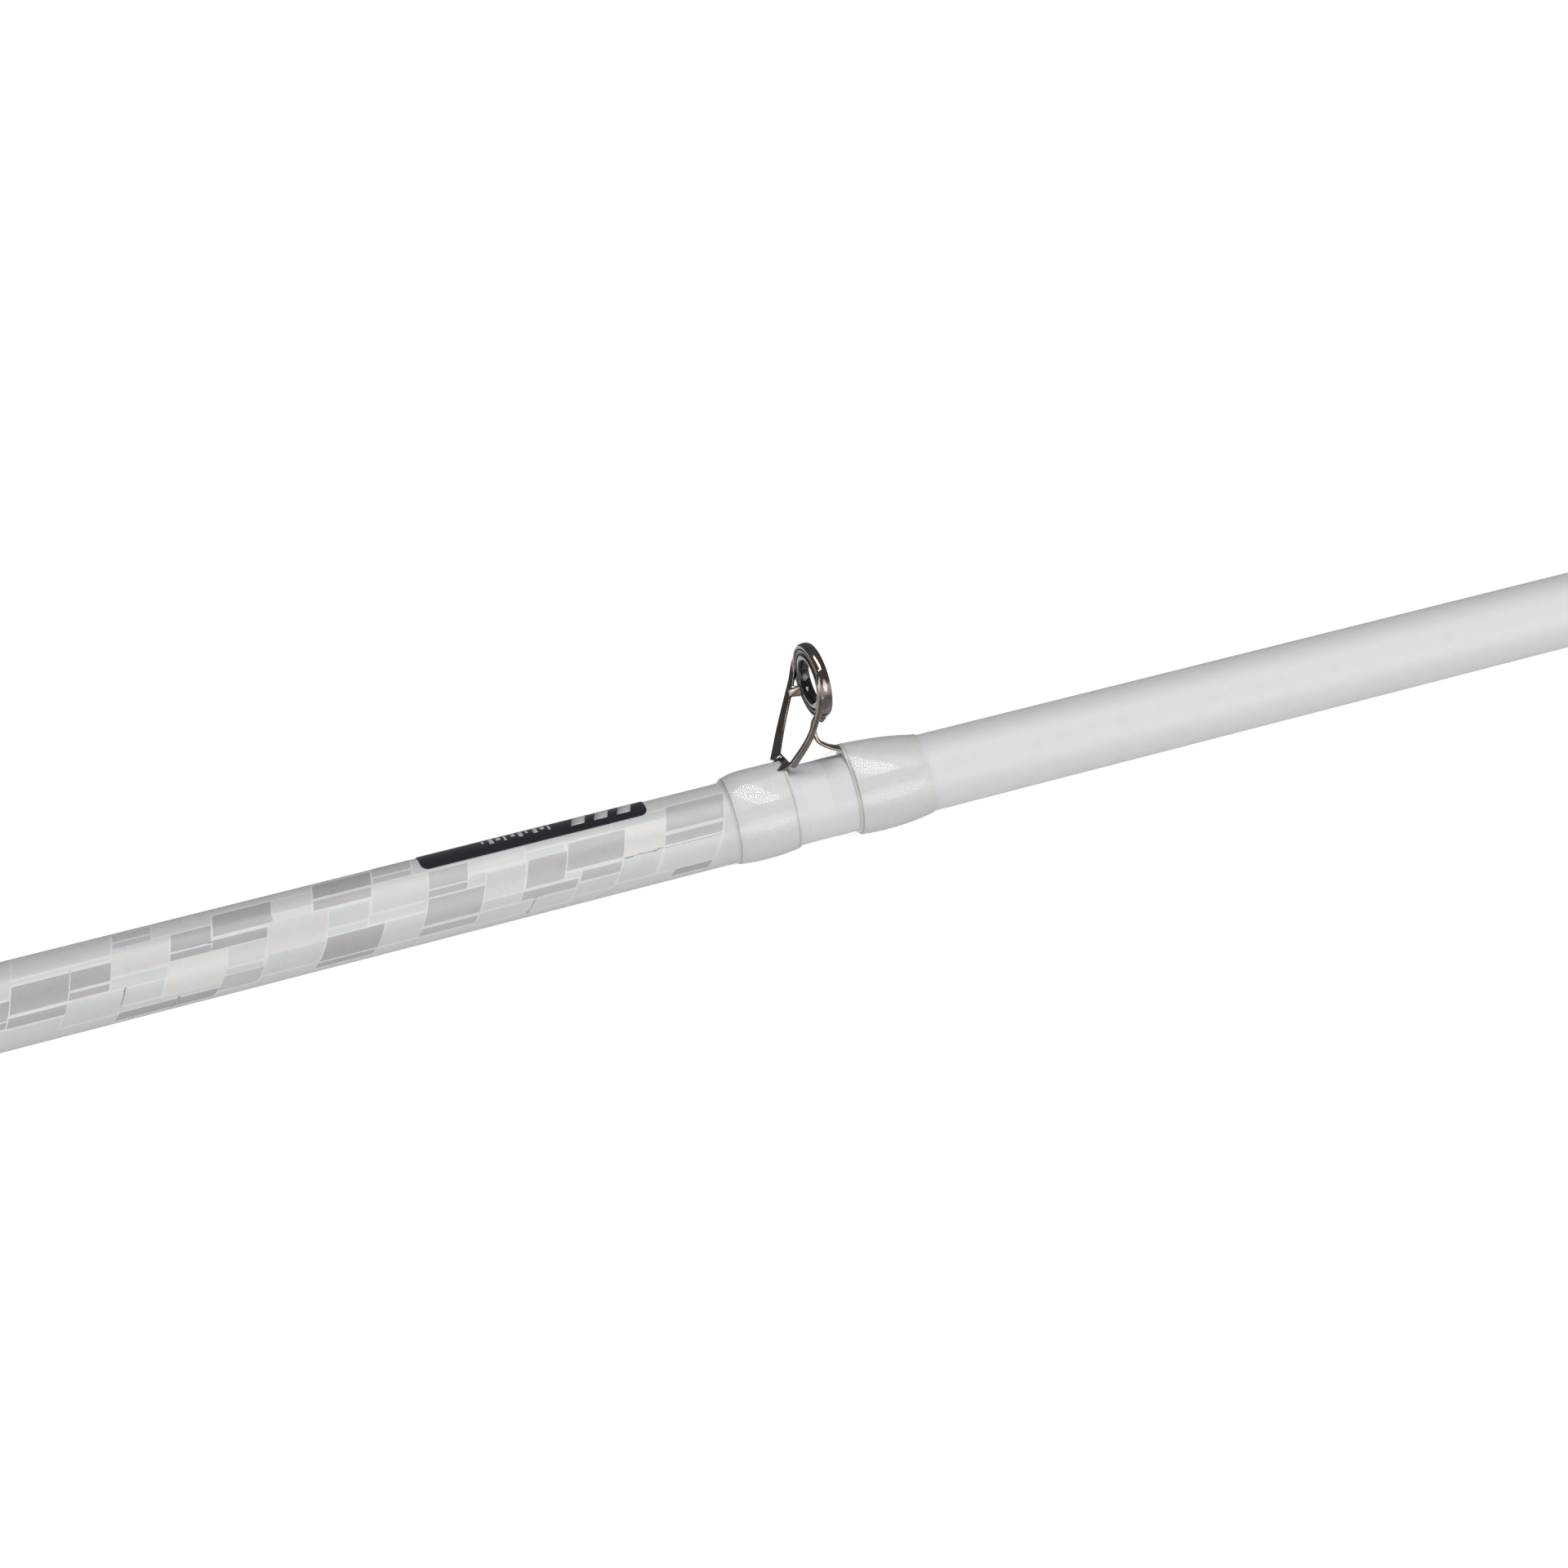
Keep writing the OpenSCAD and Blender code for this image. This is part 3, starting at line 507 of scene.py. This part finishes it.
def fuse(piece, voxel_mm, smoothing):
    """Joins the overlapping bars of a piece into one skin with small fillets where they meet."""
    remesh = piece.modifiers.new("fuse", "REMESH")
    remesh.mode = "VOXEL"
    remesh.voxel_size = voxel_mm * MM
    relax = piece.modifiers.new("relax", "SMOOTH")
    relax.factor = 0.5
    relax.iterations = smoothing
    depsgraph = bpy.context.evaluated_depsgraph_get()
    final = bpy.data.meshes.new_from_object(piece.evaluated_get(depsgraph))
    piece.modifiers.clear()
    piece.data = final
    final.polygons.foreach_set("use_smooth", [True] * len(final.polygons))


# ---- Camera, lights and floor -----------------------------------------------------------------------

ROOM = 0.16
FLOOR_NEAR, FLOOR_FAR = 0.05, 0.95
FLOOR_Z = -1.2


def add_camera():
    """Looks down on the stripper guide from the side, with a long lens a metre away."""
    tilt, nod, roll = math.radians(14.2), 0.19, math.radians(19)
    k = math.sqrt(1 - nod * nod)
    axis_a = Vector((k * math.cos(tilt), k * math.sin(tilt), nod))
    e1 = Vector((-math.sin(tilt), math.cos(tilt), 0))
    e2 = Vector((-nod * math.cos(tilt), -nod * math.sin(tilt), k))
    axis_u = math.cos(roll) * e1 - math.sin(roll) * e2
    axis_w = math.sin(roll) * e1 + math.cos(roll) * e2
    right, up, forward = (Vector((axis_a[n], axis_w[n], axis_u[n])) for n in range(3))
    place_at = Vector((STRIPPER_X, 0, 0)) - 6.93 * right + 1.68 * up - 1000 * forward
    data = bpy.data.cameras.new("camera")
    data.lens = 165
    data.sensor_width = 36
    data.clip_start = 0.01
    camera = bpy.data.objects.new("camera", data)
    bpy.context.scene.collection.objects.link(camera)
    rotation = Matrix((right, up, -forward)).transposed()
    camera.matrix_world = Matrix.Translation(place_at * MM) @ rotation.to_4x4()
    bpy.context.scene.camera = camera


def add_light(name, target, direction, distance, size, radiance, shape="RECTANGLE"):
    """A softbox that faces target from a direction; radiance is its brightness."""
    data = bpy.data.lights.new(name, "AREA")
    data.shape = shape
    data.size, data.size_y = size
    data.energy = radiance * math.pi * size[0] * size[1]
    light = bpy.data.objects.new(name, data)
    bpy.context.scene.collection.objects.link(light)
    d = Vector(direction).normalized()
    facing = d.to_track_quat("Z", "Y").to_matrix().to_4x4()
    light.matrix_world = Matrix.Translation(Vector(target) + d * distance) @ facing


def add_stage():
    """A floor that is bright far from the rod and dim near it, a dim room and two softboxes."""
    floor_material, tree, shader = new_material("pale_floor", 0.8)
    coords = tree.nodes.new("ShaderNodeTexCoord")
    cloud = noise(tree, coords.outputs["Object"], 3)
    base = blend_colors(tree, cloud, (0.84, 0.84, 0.84, 1), (0.88, 0.88, 0.88, 1))
    tree.links.new(base, shader.inputs["Base Color"])
    shader.inputs["Emission Color"].default_value = (1, 1, 1, 1)
    shift = tree.nodes.new("ShaderNodeVectorMath")
    shift.operation = "DISTANCE"
    shift.inputs[1].default_value = (0.9, 0, FLOOR_Z)
    tree.links.new(coords.outputs["Object"], shift.inputs[0])
    glow = spread(tree, shift.outputs["Value"], FLOOR_NEAR, FLOOR_FAR, 1.4, 2.2)
    tree.links.new(glow, shader.inputs["Emission Strength"])
    mesh = bpy.data.meshes.new("floor")
    corners = [(-15, -15, FLOOR_Z), (17, -15, FLOOR_Z), (17, 17, FLOOR_Z), (-15, 17, FLOOR_Z)]
    mesh.from_pydata(corners, [], [(0, 1, 2, 3)])
    mesh.materials.append(floor_material)
    floor = bpy.data.objects.new("floor", mesh)
    bpy.context.scene.collection.objects.link(floor)
    world = bpy.data.worlds.new("studio")
    world.use_nodes = True
    background = world.node_tree.nodes["Background"]
    background.inputs["Color"].default_value = (1, 1, 1, 1)
    background.inputs["Strength"].default_value = ROOM
    bpy.context.scene.world = world
    bpy.context.scene.view_settings.view_transform = "Standard"
    bpy.context.scene.view_settings.look = "None"
    target = (0.64, 0, 0.005)
    add_light("top_softbox", target, (0.15, -0.4, 0.92), 1.25, (0.3, 1.0), 8.8)
    add_light("front_softbox", target, (0.22, -0.97, -0.12), 1.4, (1.0, 0.85), 1.9, "ELLIPSE")


# ---- Blank ------------------------------------------------------------------------------------------

def tip_section_r(x):
    """The tip section's outside, which runs out from the socket's wall to the blank."""
    run = max(0, min(1, (x - SPLIT_X - 5) / FERRULE_RUN_OUT))
    return mix(blank_r(x) + FERRULE_GAP + FERRULE_WALL, blank_r(x), run * run * (3 - 2 * run))


def build_blank():
    """Both sections: the butt section with its spigot, and the tip section with its socket."""
    outside = [(x, blank_r(x)) for x in steps(3, SPLIT_X - 0.4, 6)] + [(SPLIT_X, blank_r(SPLIT_X) - 0.4)]
    inside = [(x, bore_r(x)) for x in steps(3, SPLIT_X, 40)]
    piece = tube("blank_butt_section", outside, inside, white_paint, "rod")
    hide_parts("blank_butt")
    start = SPLIT_X - FERRULE_OVERLAP
    outside = [(start, tip_section_r(start) - 0.3)]
    outside += [(x, tip_section_r(x)) for x in steps(start + 0.3, 1030, 2)]
    outside += [(x, blank_r(x)) for x in steps(1036, BLANK_END, 10)]
    inside = [(x, blank_r(x) + FERRULE_GAP) for x in steps(start, SPLIT_X + 3, 10)]
    inside += [(x, bore_r(x)) for x in steps(SPLIT_X + 3.1, BLANK_END, 40)]
    piece = tube("blank_tip_section", outside, inside, white_paint, "tip_section")
    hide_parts("blank_tip")


# ---- Printed film and label -------------------------------------------------------------------------

# Blocks of the print: from and to along the blank, measured back from the stripper's ring, then from and
# to in degrees around it, from the top towards the right-hand side. Long blocks have a thin one beside them.
BLOCKS = {
    "dark": [
        (-117.1, -109, 49, 83.7), (-117.1, -109, 88.4, 101), (-108.8, -103.2, 49, 72),
        (-108.8, -103.2, 75.8, 84.3), (-94.8, -89.2, 31.6, 55), (-94.8, -89.2, 58.4, 67),
        (-88.9, -80.7, 14.2, 49), (-88.9, -81.2, 54.3, 67), (-74.7, -66.5, 0, 30),
        (-74.7, -66.5, 34.7, 48.3), (-72.3, -64.2, 88.4, 123), (-72.3, -64.2, 126, 136),
        (-100.5, -92.4, 123, 140), (-92.1, -86.5, 123, 140), (-21.4, -16, 121, 135),
        (-120.5, -117.3, 66, 90), (-120.5, -117.3, 92, 100),
    ],
    "mid": [
        (-58.3, -52.8, 34, 58.4), (-58.3, -52.8, 61.5, 69.5), (-58.2, -50.2, 72, 106.7),
        (-58.2, -50.2, 112, 124), (-44.1, -38.6, 53.7, 90), (-38.4, -30.3, 44, 80.5),
        (-44.3, -36.4, 94.7, 106.4), (-36, -30.3, 86, 99.5), (-24.3, -16, 25, 61.6),
        (-24.3, -16, 67, 79.6),
    ],
    "lavender": [
        (-102.9, -97.6, 0, 17.4), (-102.9, -97.6, 21.5, 30), (-66.2, -60.8, -50, 17),
        (-66.2, -60.8, 21.5, 30), (-86.4, -80.8, 105.8, 130),
    ],
    "warm": [
        (-117, -103.3, 0, 38), (-103.1, -95.1, 31.6, 68), (-80.5, -75, 15.8, 38), (-80.5, -75, 41, 49),
        (-81, -72.7, 50.5, 87.8), (-66.3, -58.5, 34.7, 71), (-52.6, -44.8, 34.7, 50.5),
        (-24, -16, 83, 118),
    ],
    "pale": [
        (-94.8, -86.5, 69, 112), (-30.1, -24.5, 42.6, 80.5),
    ],
    "green": [
        (-109, -101, 88, 121.6), (-102.9, -95.2, 72.6, 85), (-100.7, -95.3, 88, 110.5),
        (-86.3, -81.2, 69, 93), (-86.3, -81.2, 97, 104), (-80.6, -72.6, 91.6, 121),
        (-72.4, -66.8, 53.7, 75.8), (-72.4, -66.8, 79, 86), (-64, -58.4, 88, 123), (-50, -44.5, 57, 90),
        (-49.9, -44.5, 94, 106), (-44.5, -39, 42.6, 52), (-32, -24.5, 28, 41), (-30, -24.6, 84, 118),
        (-36.1, -30.4, 103, 122), (-49.9, -42.2, 110, 130), (-42, -36.4, 110, 130),
    ],
}
MOTIF_L = 104.6
MOTIF_COPIES = 3
FAR_SIDE = 190
FAR_SHIFT = 31
LINE_W, LINE_ANGLE = 0.28, 3.6
BLOCK_T, LINE_T = 0.02, 0.01


def skew(angle):
    """How far a block's end is shifted along the blank at an angle around it."""
    d = angle - 30
    return -(0.0233 * d + 0.000159 * d * d)


def film_r(x):
    """Radius of the film's outside."""
    return blank_r(x) + GLUE + FILM_T


def curved_slab(x0, x1, a0, a1, radius, thickness, shift=lambda a: 0.0):
    """A thin slab that follows the blank from x0 to x1, and from angle a0 to a1 around it, in degrees."""
    n = max(1, math.ceil((a1 - a0) / 4))
    m = max(1, math.ceil((x1 - x0) / 4))
    points = []
    for layer in (0, thickness):
        for i in range(n + 1):
            angle = mix(a0, a1, i / n)
            for j in range(m + 1):
                x = mix(x0, x1, j / m) + shift(angle)
                r = radius(x) + layer
                points.append((x, -r * math.sin(math.radians(angle)), r * math.cos(math.radians(angle))))
    return points, sheet_faces(n, m)


def build_film():
    """The film's grey ground, the white lines and the blocks on them, as thin raised layers."""
    xs = steps(FILM_X0, FILM_X1, 6)
    outside = [(x, film_r(x)) for x in xs]
    inside = [(x, blank_r(x) - 0.02) for x in xs]
    piece = tube("printed_film", outside, inside, film_ink, "rod")
    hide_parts("graphic_sleeve")
    outlines = []
    for tone, blocks in BLOCKS.items():
        parts = []
        for copy in range(MOTIF_COPIES):
            for side in (0, FAR_SIDE):
                origin = STRIPPER_X - MOTIF_L * copy - (FAR_SHIFT if side else 0)
                for x0, x1, a0, a1 in blocks:
                    if side and (a0 < 0 or a1 > 124):
                        continue
                    from_x, to_x = max(origin + x0, FILM_X0 + 3), min(origin + x1, FILM_X1)
                    if to_x - from_x < 1:
                        continue

                    def lean(a, side=side):
                        return skew(a - side)

                    first, last = a0 + side, a1 + side
                    parts.append(curved_slab(from_x, to_x, first, last, film_r, BLOCK_T, lean))
                    edge = min(to_x + LINE_W, FILM_X1)
                    first, last = first - LINE_ANGLE, last + LINE_ANGLE
                    outlines.append(curved_slab(from_x - LINE_W, edge, first, last, film_r, LINE_T, lean))
        points, faces = merged(parts)
        name = "print_blocks_" + tone
        soften(add_mesh(name, points, faces, block_inks[tone], "rod"))
    points, faces = merged(outlines)
    soften(add_mesh("print_lines", points, faces, line_ink, "rod"))


def build_label():
    """The label with round corners, and plain marks in place of lettering."""
    corner = 1.1
    xs = [LABEL_X0 + corner * (1 - math.cos(math.radians(a))) for a in range(0, 91, 15)]
    xs += steps(LABEL_X0 + corner, LABEL_X1 - corner, 3)[1:-1]
    xs += [LABEL_X1 - corner * (1 - math.sin(math.radians(a))) for a in range(0, 91, 15)]
    columns = 24
    points = []
    for layer in (0.0, LABEL_T):
        for x in xs:
            inset = max(LABEL_X0 + corner - x, x - LABEL_X1 + corner, 0)
            cut = corner - math.sqrt(max(corner ** 2 - inset ** 2, 0))
            half = LABEL_ANGLE - math.degrees(cut / film_r(x))
            for j in range(columns + 1):
                angle = math.radians(mix(-half, half, j / columns))
                r = film_r(x) + BLOCK_T + layer
                points.append((x, -r * math.sin(angle), r * math.cos(angle)))
    faces = sheet_faces(len(xs) - 1, columns)
    piece = add_mesh("label_plate", points, faces, label_ink, "rod")
    soften(piece, 30)
    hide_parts("label")

    def top(x):
        return film_r(x) + BLOCK_T + LABEL_T - 0.005

    parts = []
    for k in range(10):
        start = STRIPPER_X - 50 + 1.05 * k
        end = start + (0.62 if k % 3 else 0.35)
        parts.append(curved_slab(start, end, -8, 9.5 if k % 2 else 4, top, 0.012))
    for k in range(3):
        start = STRIPPER_X - 37 + 3.3 * k
        parts.append(curved_slab(start, start + 1.9, -14, 15, top, 0.012, lambda a: -0.03 * a))
    points, faces = merged(parts)
    add_mesh("label_marks", points, faces, mark_ink, "rod")


# ---- Thread wraps -----------------------------------------------------------------------------------

AROUND = 96
COAT_STATIONS = 64
RIDGE = 0.022


def hull_section(circle, half_width, top):
    """Radius at each angle from the top of a skin stretched over a circle and a flat bar on top of it."""
    angles = np.linspace(-math.pi, math.pi, AROUND, endpoint=False)
    radii = np.full(AROUND, float(circle))
    reach = math.hypot(half_width, top)
    if top > circle and reach > circle:
        edge = math.atan2(half_width, top)
        touch = edge + math.acos(min(1, circle / reach))
        a = np.abs(angles)
        flat = a <= edge
        slope = (a > edge) & (a < touch)
        radii[flat] = top / np.cos(a[flat])
        radii[slope] = circle / np.cos(touch - a[slope])
    return radii


def blurred(radii, passes):
    """Radii around a section with their corners evened out."""
    for _ in range(passes):
        radii = 0.25 * np.roll(radii, 1) + 0.5 * radii + 0.25 * np.roll(radii, -1)
    return radii


def skin(name, xs, sections, inner, material, body):
    """A closed sleeve of any section along X: a list of radii per station, and an inner radius at each x."""
    angles = np.linspace(-math.pi, math.pi, AROUND, endpoint=False)
    points = []
    for x, radii in zip(xs, sections):
        for a, r in zip(angles, radii):
            points.append((x, -r * math.sin(a), r * math.cos(a)))
    for x in (xs[-1], xs[0]):
        for a in angles:
            points.append((x, -inner(x) * math.sin(a), inner(x) * math.cos(a)))
    faces = [tuple(reversed(f)) for f in ring_faces(len(xs) + 2, AROUND, closed_along=True)]
    return add_mesh(name, points, faces, material, body)


def lens_height(x, x0, x1, peak):
    """Height of a blunt lens that rises from x0 and falls to x1."""
    u = min(1, max(0, (x - x0) / (x1 - x0)))
    return peak * math.sin(math.pi * u) ** 0.65


# The shapes of the wraps. All lengths are for the stripper guide, measured along X from its ring. coat and
# wound are the ends of the epoxy and of the thread, peak is the epoxy's thickness, coat_top and foot_top are
# heights of the epoxy and of the foot above the blank as (x, height), and foot_w is the foot's width.
REAR_WRAP = {
    "coat": (-17.4, -5), "wound": (-15.6, -6.4), "peak": 0.79, "foot_w": 2.6,
    "coat_top": [(-17.4, 0), (-16.8, 0.22), (-15.5, 0.78), (-13.6, 1.34), (-12, 1.4), (-7.6, 1.42),
                 (-6.3, 1.3), (-5.5, 0.9), (-5, 0.3)],
    "foot_top": [(-15.4, 0), (-15, 0.62), (-11.5, 0.76), (-8.4, 0.92), (-6.8, 1.1)],
}
FRONT_WRAP = {
    "coat": (-1.2, 13.7), "wound": (2.1, 13.1), "peak": 0.93, "foot_w": 2.3,
    "coat_top": [(-1.2, 0), (0.2, 0.45), (1, 0.95), (1.5, 1.6), (2.1, 1.76), (4, 1.62), (6, 1.42), (8, 1.18),
                 (10, 0.86), (12, 0.46), (13, 0.2), (13.7, 0)],
    "foot_top": [(2, 1.5), (4, 1.12), (7, 0.76), (11, 0.5), (11.6, 0)],
}
SINGLE_WRAP = {
    "coat": (-15.6, -3.4), "wound": (-14.2, -4.6), "peak": 0.8, "foot_w": 2.3,
    "coat_top": [(-15.6, 0), (-14.6, 0.3), (-11.4, 1.15), (-6, 1.35), (-4.4, 1.2), (-3.4, 0.3)],
    "foot_top": [(-13.7, 0), (-13.2, 0.55), (-9, 0.72), (-5.4, 0.9)],
}


def wrap(name, body, i, shape, ends=1):
    """A thread wrap of guide i under its epoxy, with a painted shade line at one end or both: its last turns
    in a darker colour.

    Only the stripper guide's thread has its ridges in the mesh. The others have them in their material."""
    s = guide_scale(i)
    origin = GUIDE_X[i]
    x0, x1 = shape["coat"][0] * s, shape["coat"][1] * s
    t0, t1 = shape["wound"][0] * s, shape["wound"][1] * s
    foot_w = shape["foot_w"]
    ridges = i == 0

    def outer(x):
        base = blank_r(origin + x) + 0.01
        side = base + lens_height(x, x0, x1, shape["peak"] * math.sqrt(s))
        near = min(1, max(0, min(x - x0, x1 - x) / (0.5 * s)))
        top = base + max(eased(shape["coat_top"], x / s, 0.6) * s * near, side - base)
        return blurred(hull_section(side, foot_w * 0.55 * s, top), 14)

    def inside(x):
        return blank_r(x) - 0.05

    n = COAT_STATIONS
    xs = [mix(x0, x1, 0.5 - 0.5 * math.cos(math.pi * k / n)) for k in range(n + 1)]
    sections = [outer(x) for x in xs]
    shell = skin(name + "_epoxy", [origin + x for x in xs], sections, inside, clear_epoxy, body)
    stations = steps(t0, t1, THREAD_PITCH / 4 if ridges else 0.4)
    sections = []
    for x in stations:
        base = blank_r(origin + x) + 0.03
        foot = ramp(shape["foot_top"], x / s) * s
        top = max(base + 0.2, blank_r(origin + x) + foot + 0.22)
        radii = blurred(hull_section(base + 0.2, foot_w * 0.5 * s, top), 6)
        near_end = min(1, min(x - t0, t1 - x) / (0.5 * s))
        ridge = abs(math.sin(math.pi * (x - t0) / THREAD_PITCH)) if ridges else 0.0
        radii = mix(radii, outer(x) - 0.13, near_end) + RIDGE * ridge
        sections.append(np.minimum(radii, outer(x) - 0.06))
    skin(name + "_thread", [origin + x for x in stations], sections, inside, grey_thread, body)
    # Last turns in the darker colour: a painted shade line at the thread's end.
    for end, turns in (("rear", slice(4, 8)), ("front", slice(-8, -4)))[:ends]:
        xs = [origin + x for x in stations[turns]]
        radii = [r + 0.03 for r in sections[turns]]
        skin(f"{name}_{end}_turn", xs, radii, lambda x: blank_r(x) - 0.04, turn_shade_thread, body)
    return shell


def build_guide_wraps(i, body):
    """Two wraps on a guide with two feet, or one on a guide with one foot."""
    name = f"guide_{i + 1}"
    if i < TWO_FOOT_GUIDES:
        shell = wrap(name + "_rear", body, i, REAR_WRAP, ends=2)
        wrap(name + "_front", body, i, FRONT_WRAP)
    else:
        shell = wrap(name + "_foot", body, i, SINGLE_WRAP)
    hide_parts(name + "_wraps")


# ---- Line guides ------------------------------------------------------------------------------------

RIM_W, RIM_WALL = 1.6, 0.68


def guide_yaw(i):
    """The stripper guide sits slightly turned."""
    return YAW if i == 0 else 0.0


def strut(i, points, width, thick, squareness=3.2, twist=0.0):
    """A bar of guide i through points of (x from the ring, height above the blank, across).

    Width and thickness are for the stripper guide, at the bar's start and end."""
    s = guide_scale(i)
    base = blank_r(GUIDE_X[i])
    turn = math.sin(guide_yaw(i))
    path = smooth_path([(GUIDE_X[i] + x - across * turn, across, base + h) for x, h, across in points], 5)
    return bar(path, [w * s for w in width], [t * s for t in thick], squareness, twist)


def braced_frame(i):
    """Bars of a guide on two feet: front leg, rear foot, shield under the ring, two arms and their braces."""
    s = guide_scale(i)
    h = RING_H[i]
    r = rim_r(i)
    low = h - r
    leg_h = low + 0.35
    leg = [(0.1 * s, leg_h, 0), (-0.7 * s, 0.87 * leg_h, 0), (-1.2 * s, 0.69 * leg_h, 0),
           (-0.9 * s, 0.47 * leg_h, 0), (0, 0.33 * leg_h, 0), (1.6 * s, 1.3 * s, 0), (4 * s, 0.88 * s, 0),
           (7 * s, 0.5 * s, 0), (11.2 * s, 0.2 * s, 0)]
    foot = [(-15.2 * s, 0.40 * s, 0), (-11.5 * s, 0.50 * s, 0), (-8.4 * s, 0.56 * s, 0),
            (-6.8 * s, 0.8 * s, 0), (-5.6 * s, 1.35 * s, 0)]
    shield = [(0.55 * s, low + 1.3 * s, 0), (0.45 * s, low + 0.3 * s, 0), (-0.15 * s, low - 0.5 * s, 0)]
    parts = [
        strut(i, leg, (1.7, 2.5), (0.9, 0.35)),
        strut(i, foot, (2.4, 5.2), (0.5, 0.8)),
        strut(i, shield, (5.0, 1.9), (0.75, 0.75)),
    ]
    for side in (-1, 1):
        lean = 0.22 * side * r if i == 0 else 0.0
        arm = [(-6.2 * s - 0.38 * lean, 1.0 * s, side * 0.38 * r),
               (-5.6 * s - 0.46 * lean, 0.16 * h, side * 0.46 * r),
               (-3.85 * s - 0.7 * lean, 0.40 * h, side * 0.63 * r),
               (-2.1 * s - 0.55 * lean, 0.71 * h, side * 0.79 * r),
               (-1.2 * s - 0.2 * lean, 0.93 * h, side * 0.88 * r),
               (-0.8 * s, h + 0.2 * r, side * 0.9 * r),
               (-0.35 * s, h + 0.48 * r, side * 0.83 * r)]
        brace = [(-1.75 * s - 0.45 * lean, 0.8 * h, side * 0.8 * r),
                 (-0.9 * s - 0.2 * lean, 0.8 * h, side * 0.78 * r),
                 (0, 0.8 * h, side * 0.76 * r)]
        parts.append(strut(i, arm, (0.85, 0.5), (1.5, 0.66), 2.5, 30 * side))
        parts.append(strut(i, brace, (0.55, 0.55), (1.3, 1.9)))
    return parts


def single_frame(i):
    """Bars of a guide on one foot: the foot and two arms."""
    s = guide_scale(i)
    h = RING_H[i]
    r = rim_r(i)
    foot = [(-13.5 * s, 0.36 * s, 0), (-9 * s, 0.48 * s, 0), (-5.4 * s, 0.55 * s, 0), (-3.9 * s, 0.9 * s, 0),
            (-3 * s, 1.5 * s, 0)]
    parts = [strut(i, foot, (2.4, 2.2), (0.5, 0.75))]
    for side in (-1, 1):
        arm = [(-4.2 * s, 0.85 * s, side * 0.5 * s), (-3 * s, 0.3 * h, side * 0.35 * r),
               (-1.6 * s, 0.6 * h, side * 0.7 * r), (-0.6 * s, 0.9 * h, side * 0.93 * r),
               (-0.1 * s, h + 0.2 * r, side * 0.93 * r)]
        parts.append(strut(i, arm, (0.75, 0.75), (1.0, 1.1)))
    return parts


def build_ring(name, i, outer_d, bore_d, width, material, body):
    """A rounded ring on the axis of guide i's line opening."""
    radius = 0.45 * min(width, (outer_d - bore_d) / 2)
    profile = rounded_profile(-width / 2, width / 2, bore_d / 2, outer_d / 2, radius, 6)
    faces = ring_faces(len(profile), RING_AROUND, closed_along=True)
    points = lathe_points(profile, RING_AROUND, ring_centre(i), guide_yaw(i))
    return add_mesh(name, points, faces, material, body)


def ring_centre(i):
    return (GUIDE_X[i], 0, blank_r(GUIDE_X[i]) + RING_H[i])


def rim_bar(i):
    """Points and faces of the metal rim: crowned outside, with a thin chamfer on each side of its bore."""
    root = math.sqrt(guide_scale(i))
    half = RIM_W * root / 2
    wall = RIM_WALL * root
    r = rim_r(i)
    profile = []
    for degrees in range(80, -81, -10):
        a = math.radians(degrees)
        profile.append((half * math.sin(a), r - 0.5 * wall + 0.5 * wall * math.cos(a)))
    profile += [(-half, r - 0.8 * wall), (-half + 0.12, r - wall)]
    profile += [(half - 0.12, r - wall), (half, r - 0.8 * wall)]
    points = lathe_points(profile, RING_AROUND, ring_centre(i), guide_yaw(i))
    return points, ring_faces(len(profile), RING_AROUND, closed_along=True)


def build_guide(i):
    """Guide i: its frame in one skin, the ceramic ring, the ring's black cushion and the wraps."""
    body = "rod" if i < FRONT_GUIDES else "tip_section"
    name = f"guide_{i + 1}"
    root = math.sqrt(guide_scale(i))
    bars = braced_frame(i) if i < TWO_FOOT_GUIDES else single_frame(i)
    points, faces = merged(bars + [rim_bar(i)])
    frame_piece = add_mesh(name + "_metal", points, faces, guide_metal, body)
    voxel, smoothing = (0.085, 4) if i == 0 else (0.13, 3)
    fuse(frame_piece, voxel, smoothing)
    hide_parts(name + "_frame")
    insert = build_ring(name + "_insert", i, RING_D[i], RING_BORE[i], 1.7 * root, ring_black, body)
    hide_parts(name + "_ring")
    seat_d = 2 * (rim_r(i) - RIM_WALL * root) + 0.04
    build_ring(name + "_cushion", i, seat_d, RING_D[i] - 0.04, 1.5 * root, cushion_black, body)
    build_guide_wraps(i, body)


# ---- Everything together ----------------------------------------------------------------------------

def give(node, material):
    """A CAD node keeps its shape and gets a better material."""
    for slot in nodes[node].material_slots:
        slot.material = material


add_camera()
add_stage()
build_blank()
build_film()
build_label()
for index in range(len(GUIDE_X)):
    build_guide(index)
carried_over = (
    (cap_rubber, ["butt_cap"]),
    (aluminium, ["cap_ring", "rear_check", "seat_check", "front_check"]),
    (grip_foam, ["rear_grip", "fore_grip"]),
    (seat_composite, ["reel_seat"]),
    (arbor_foam, ["seat_arbors"]),
    (gunmetal, ["sliding_hood", "lock_nut"]),
    (guide_metal, ["hook_keeper", "tip_top_frame"]),
    (ring_black, ["tip_top_ring"]),
    (grey_thread, ["keeper_wraps", "ferrule_trim", "ferrule_wrap", "tip_top_wrap"]),
)
for material, names in carried_over:
    for node in names:
        give(node, material)
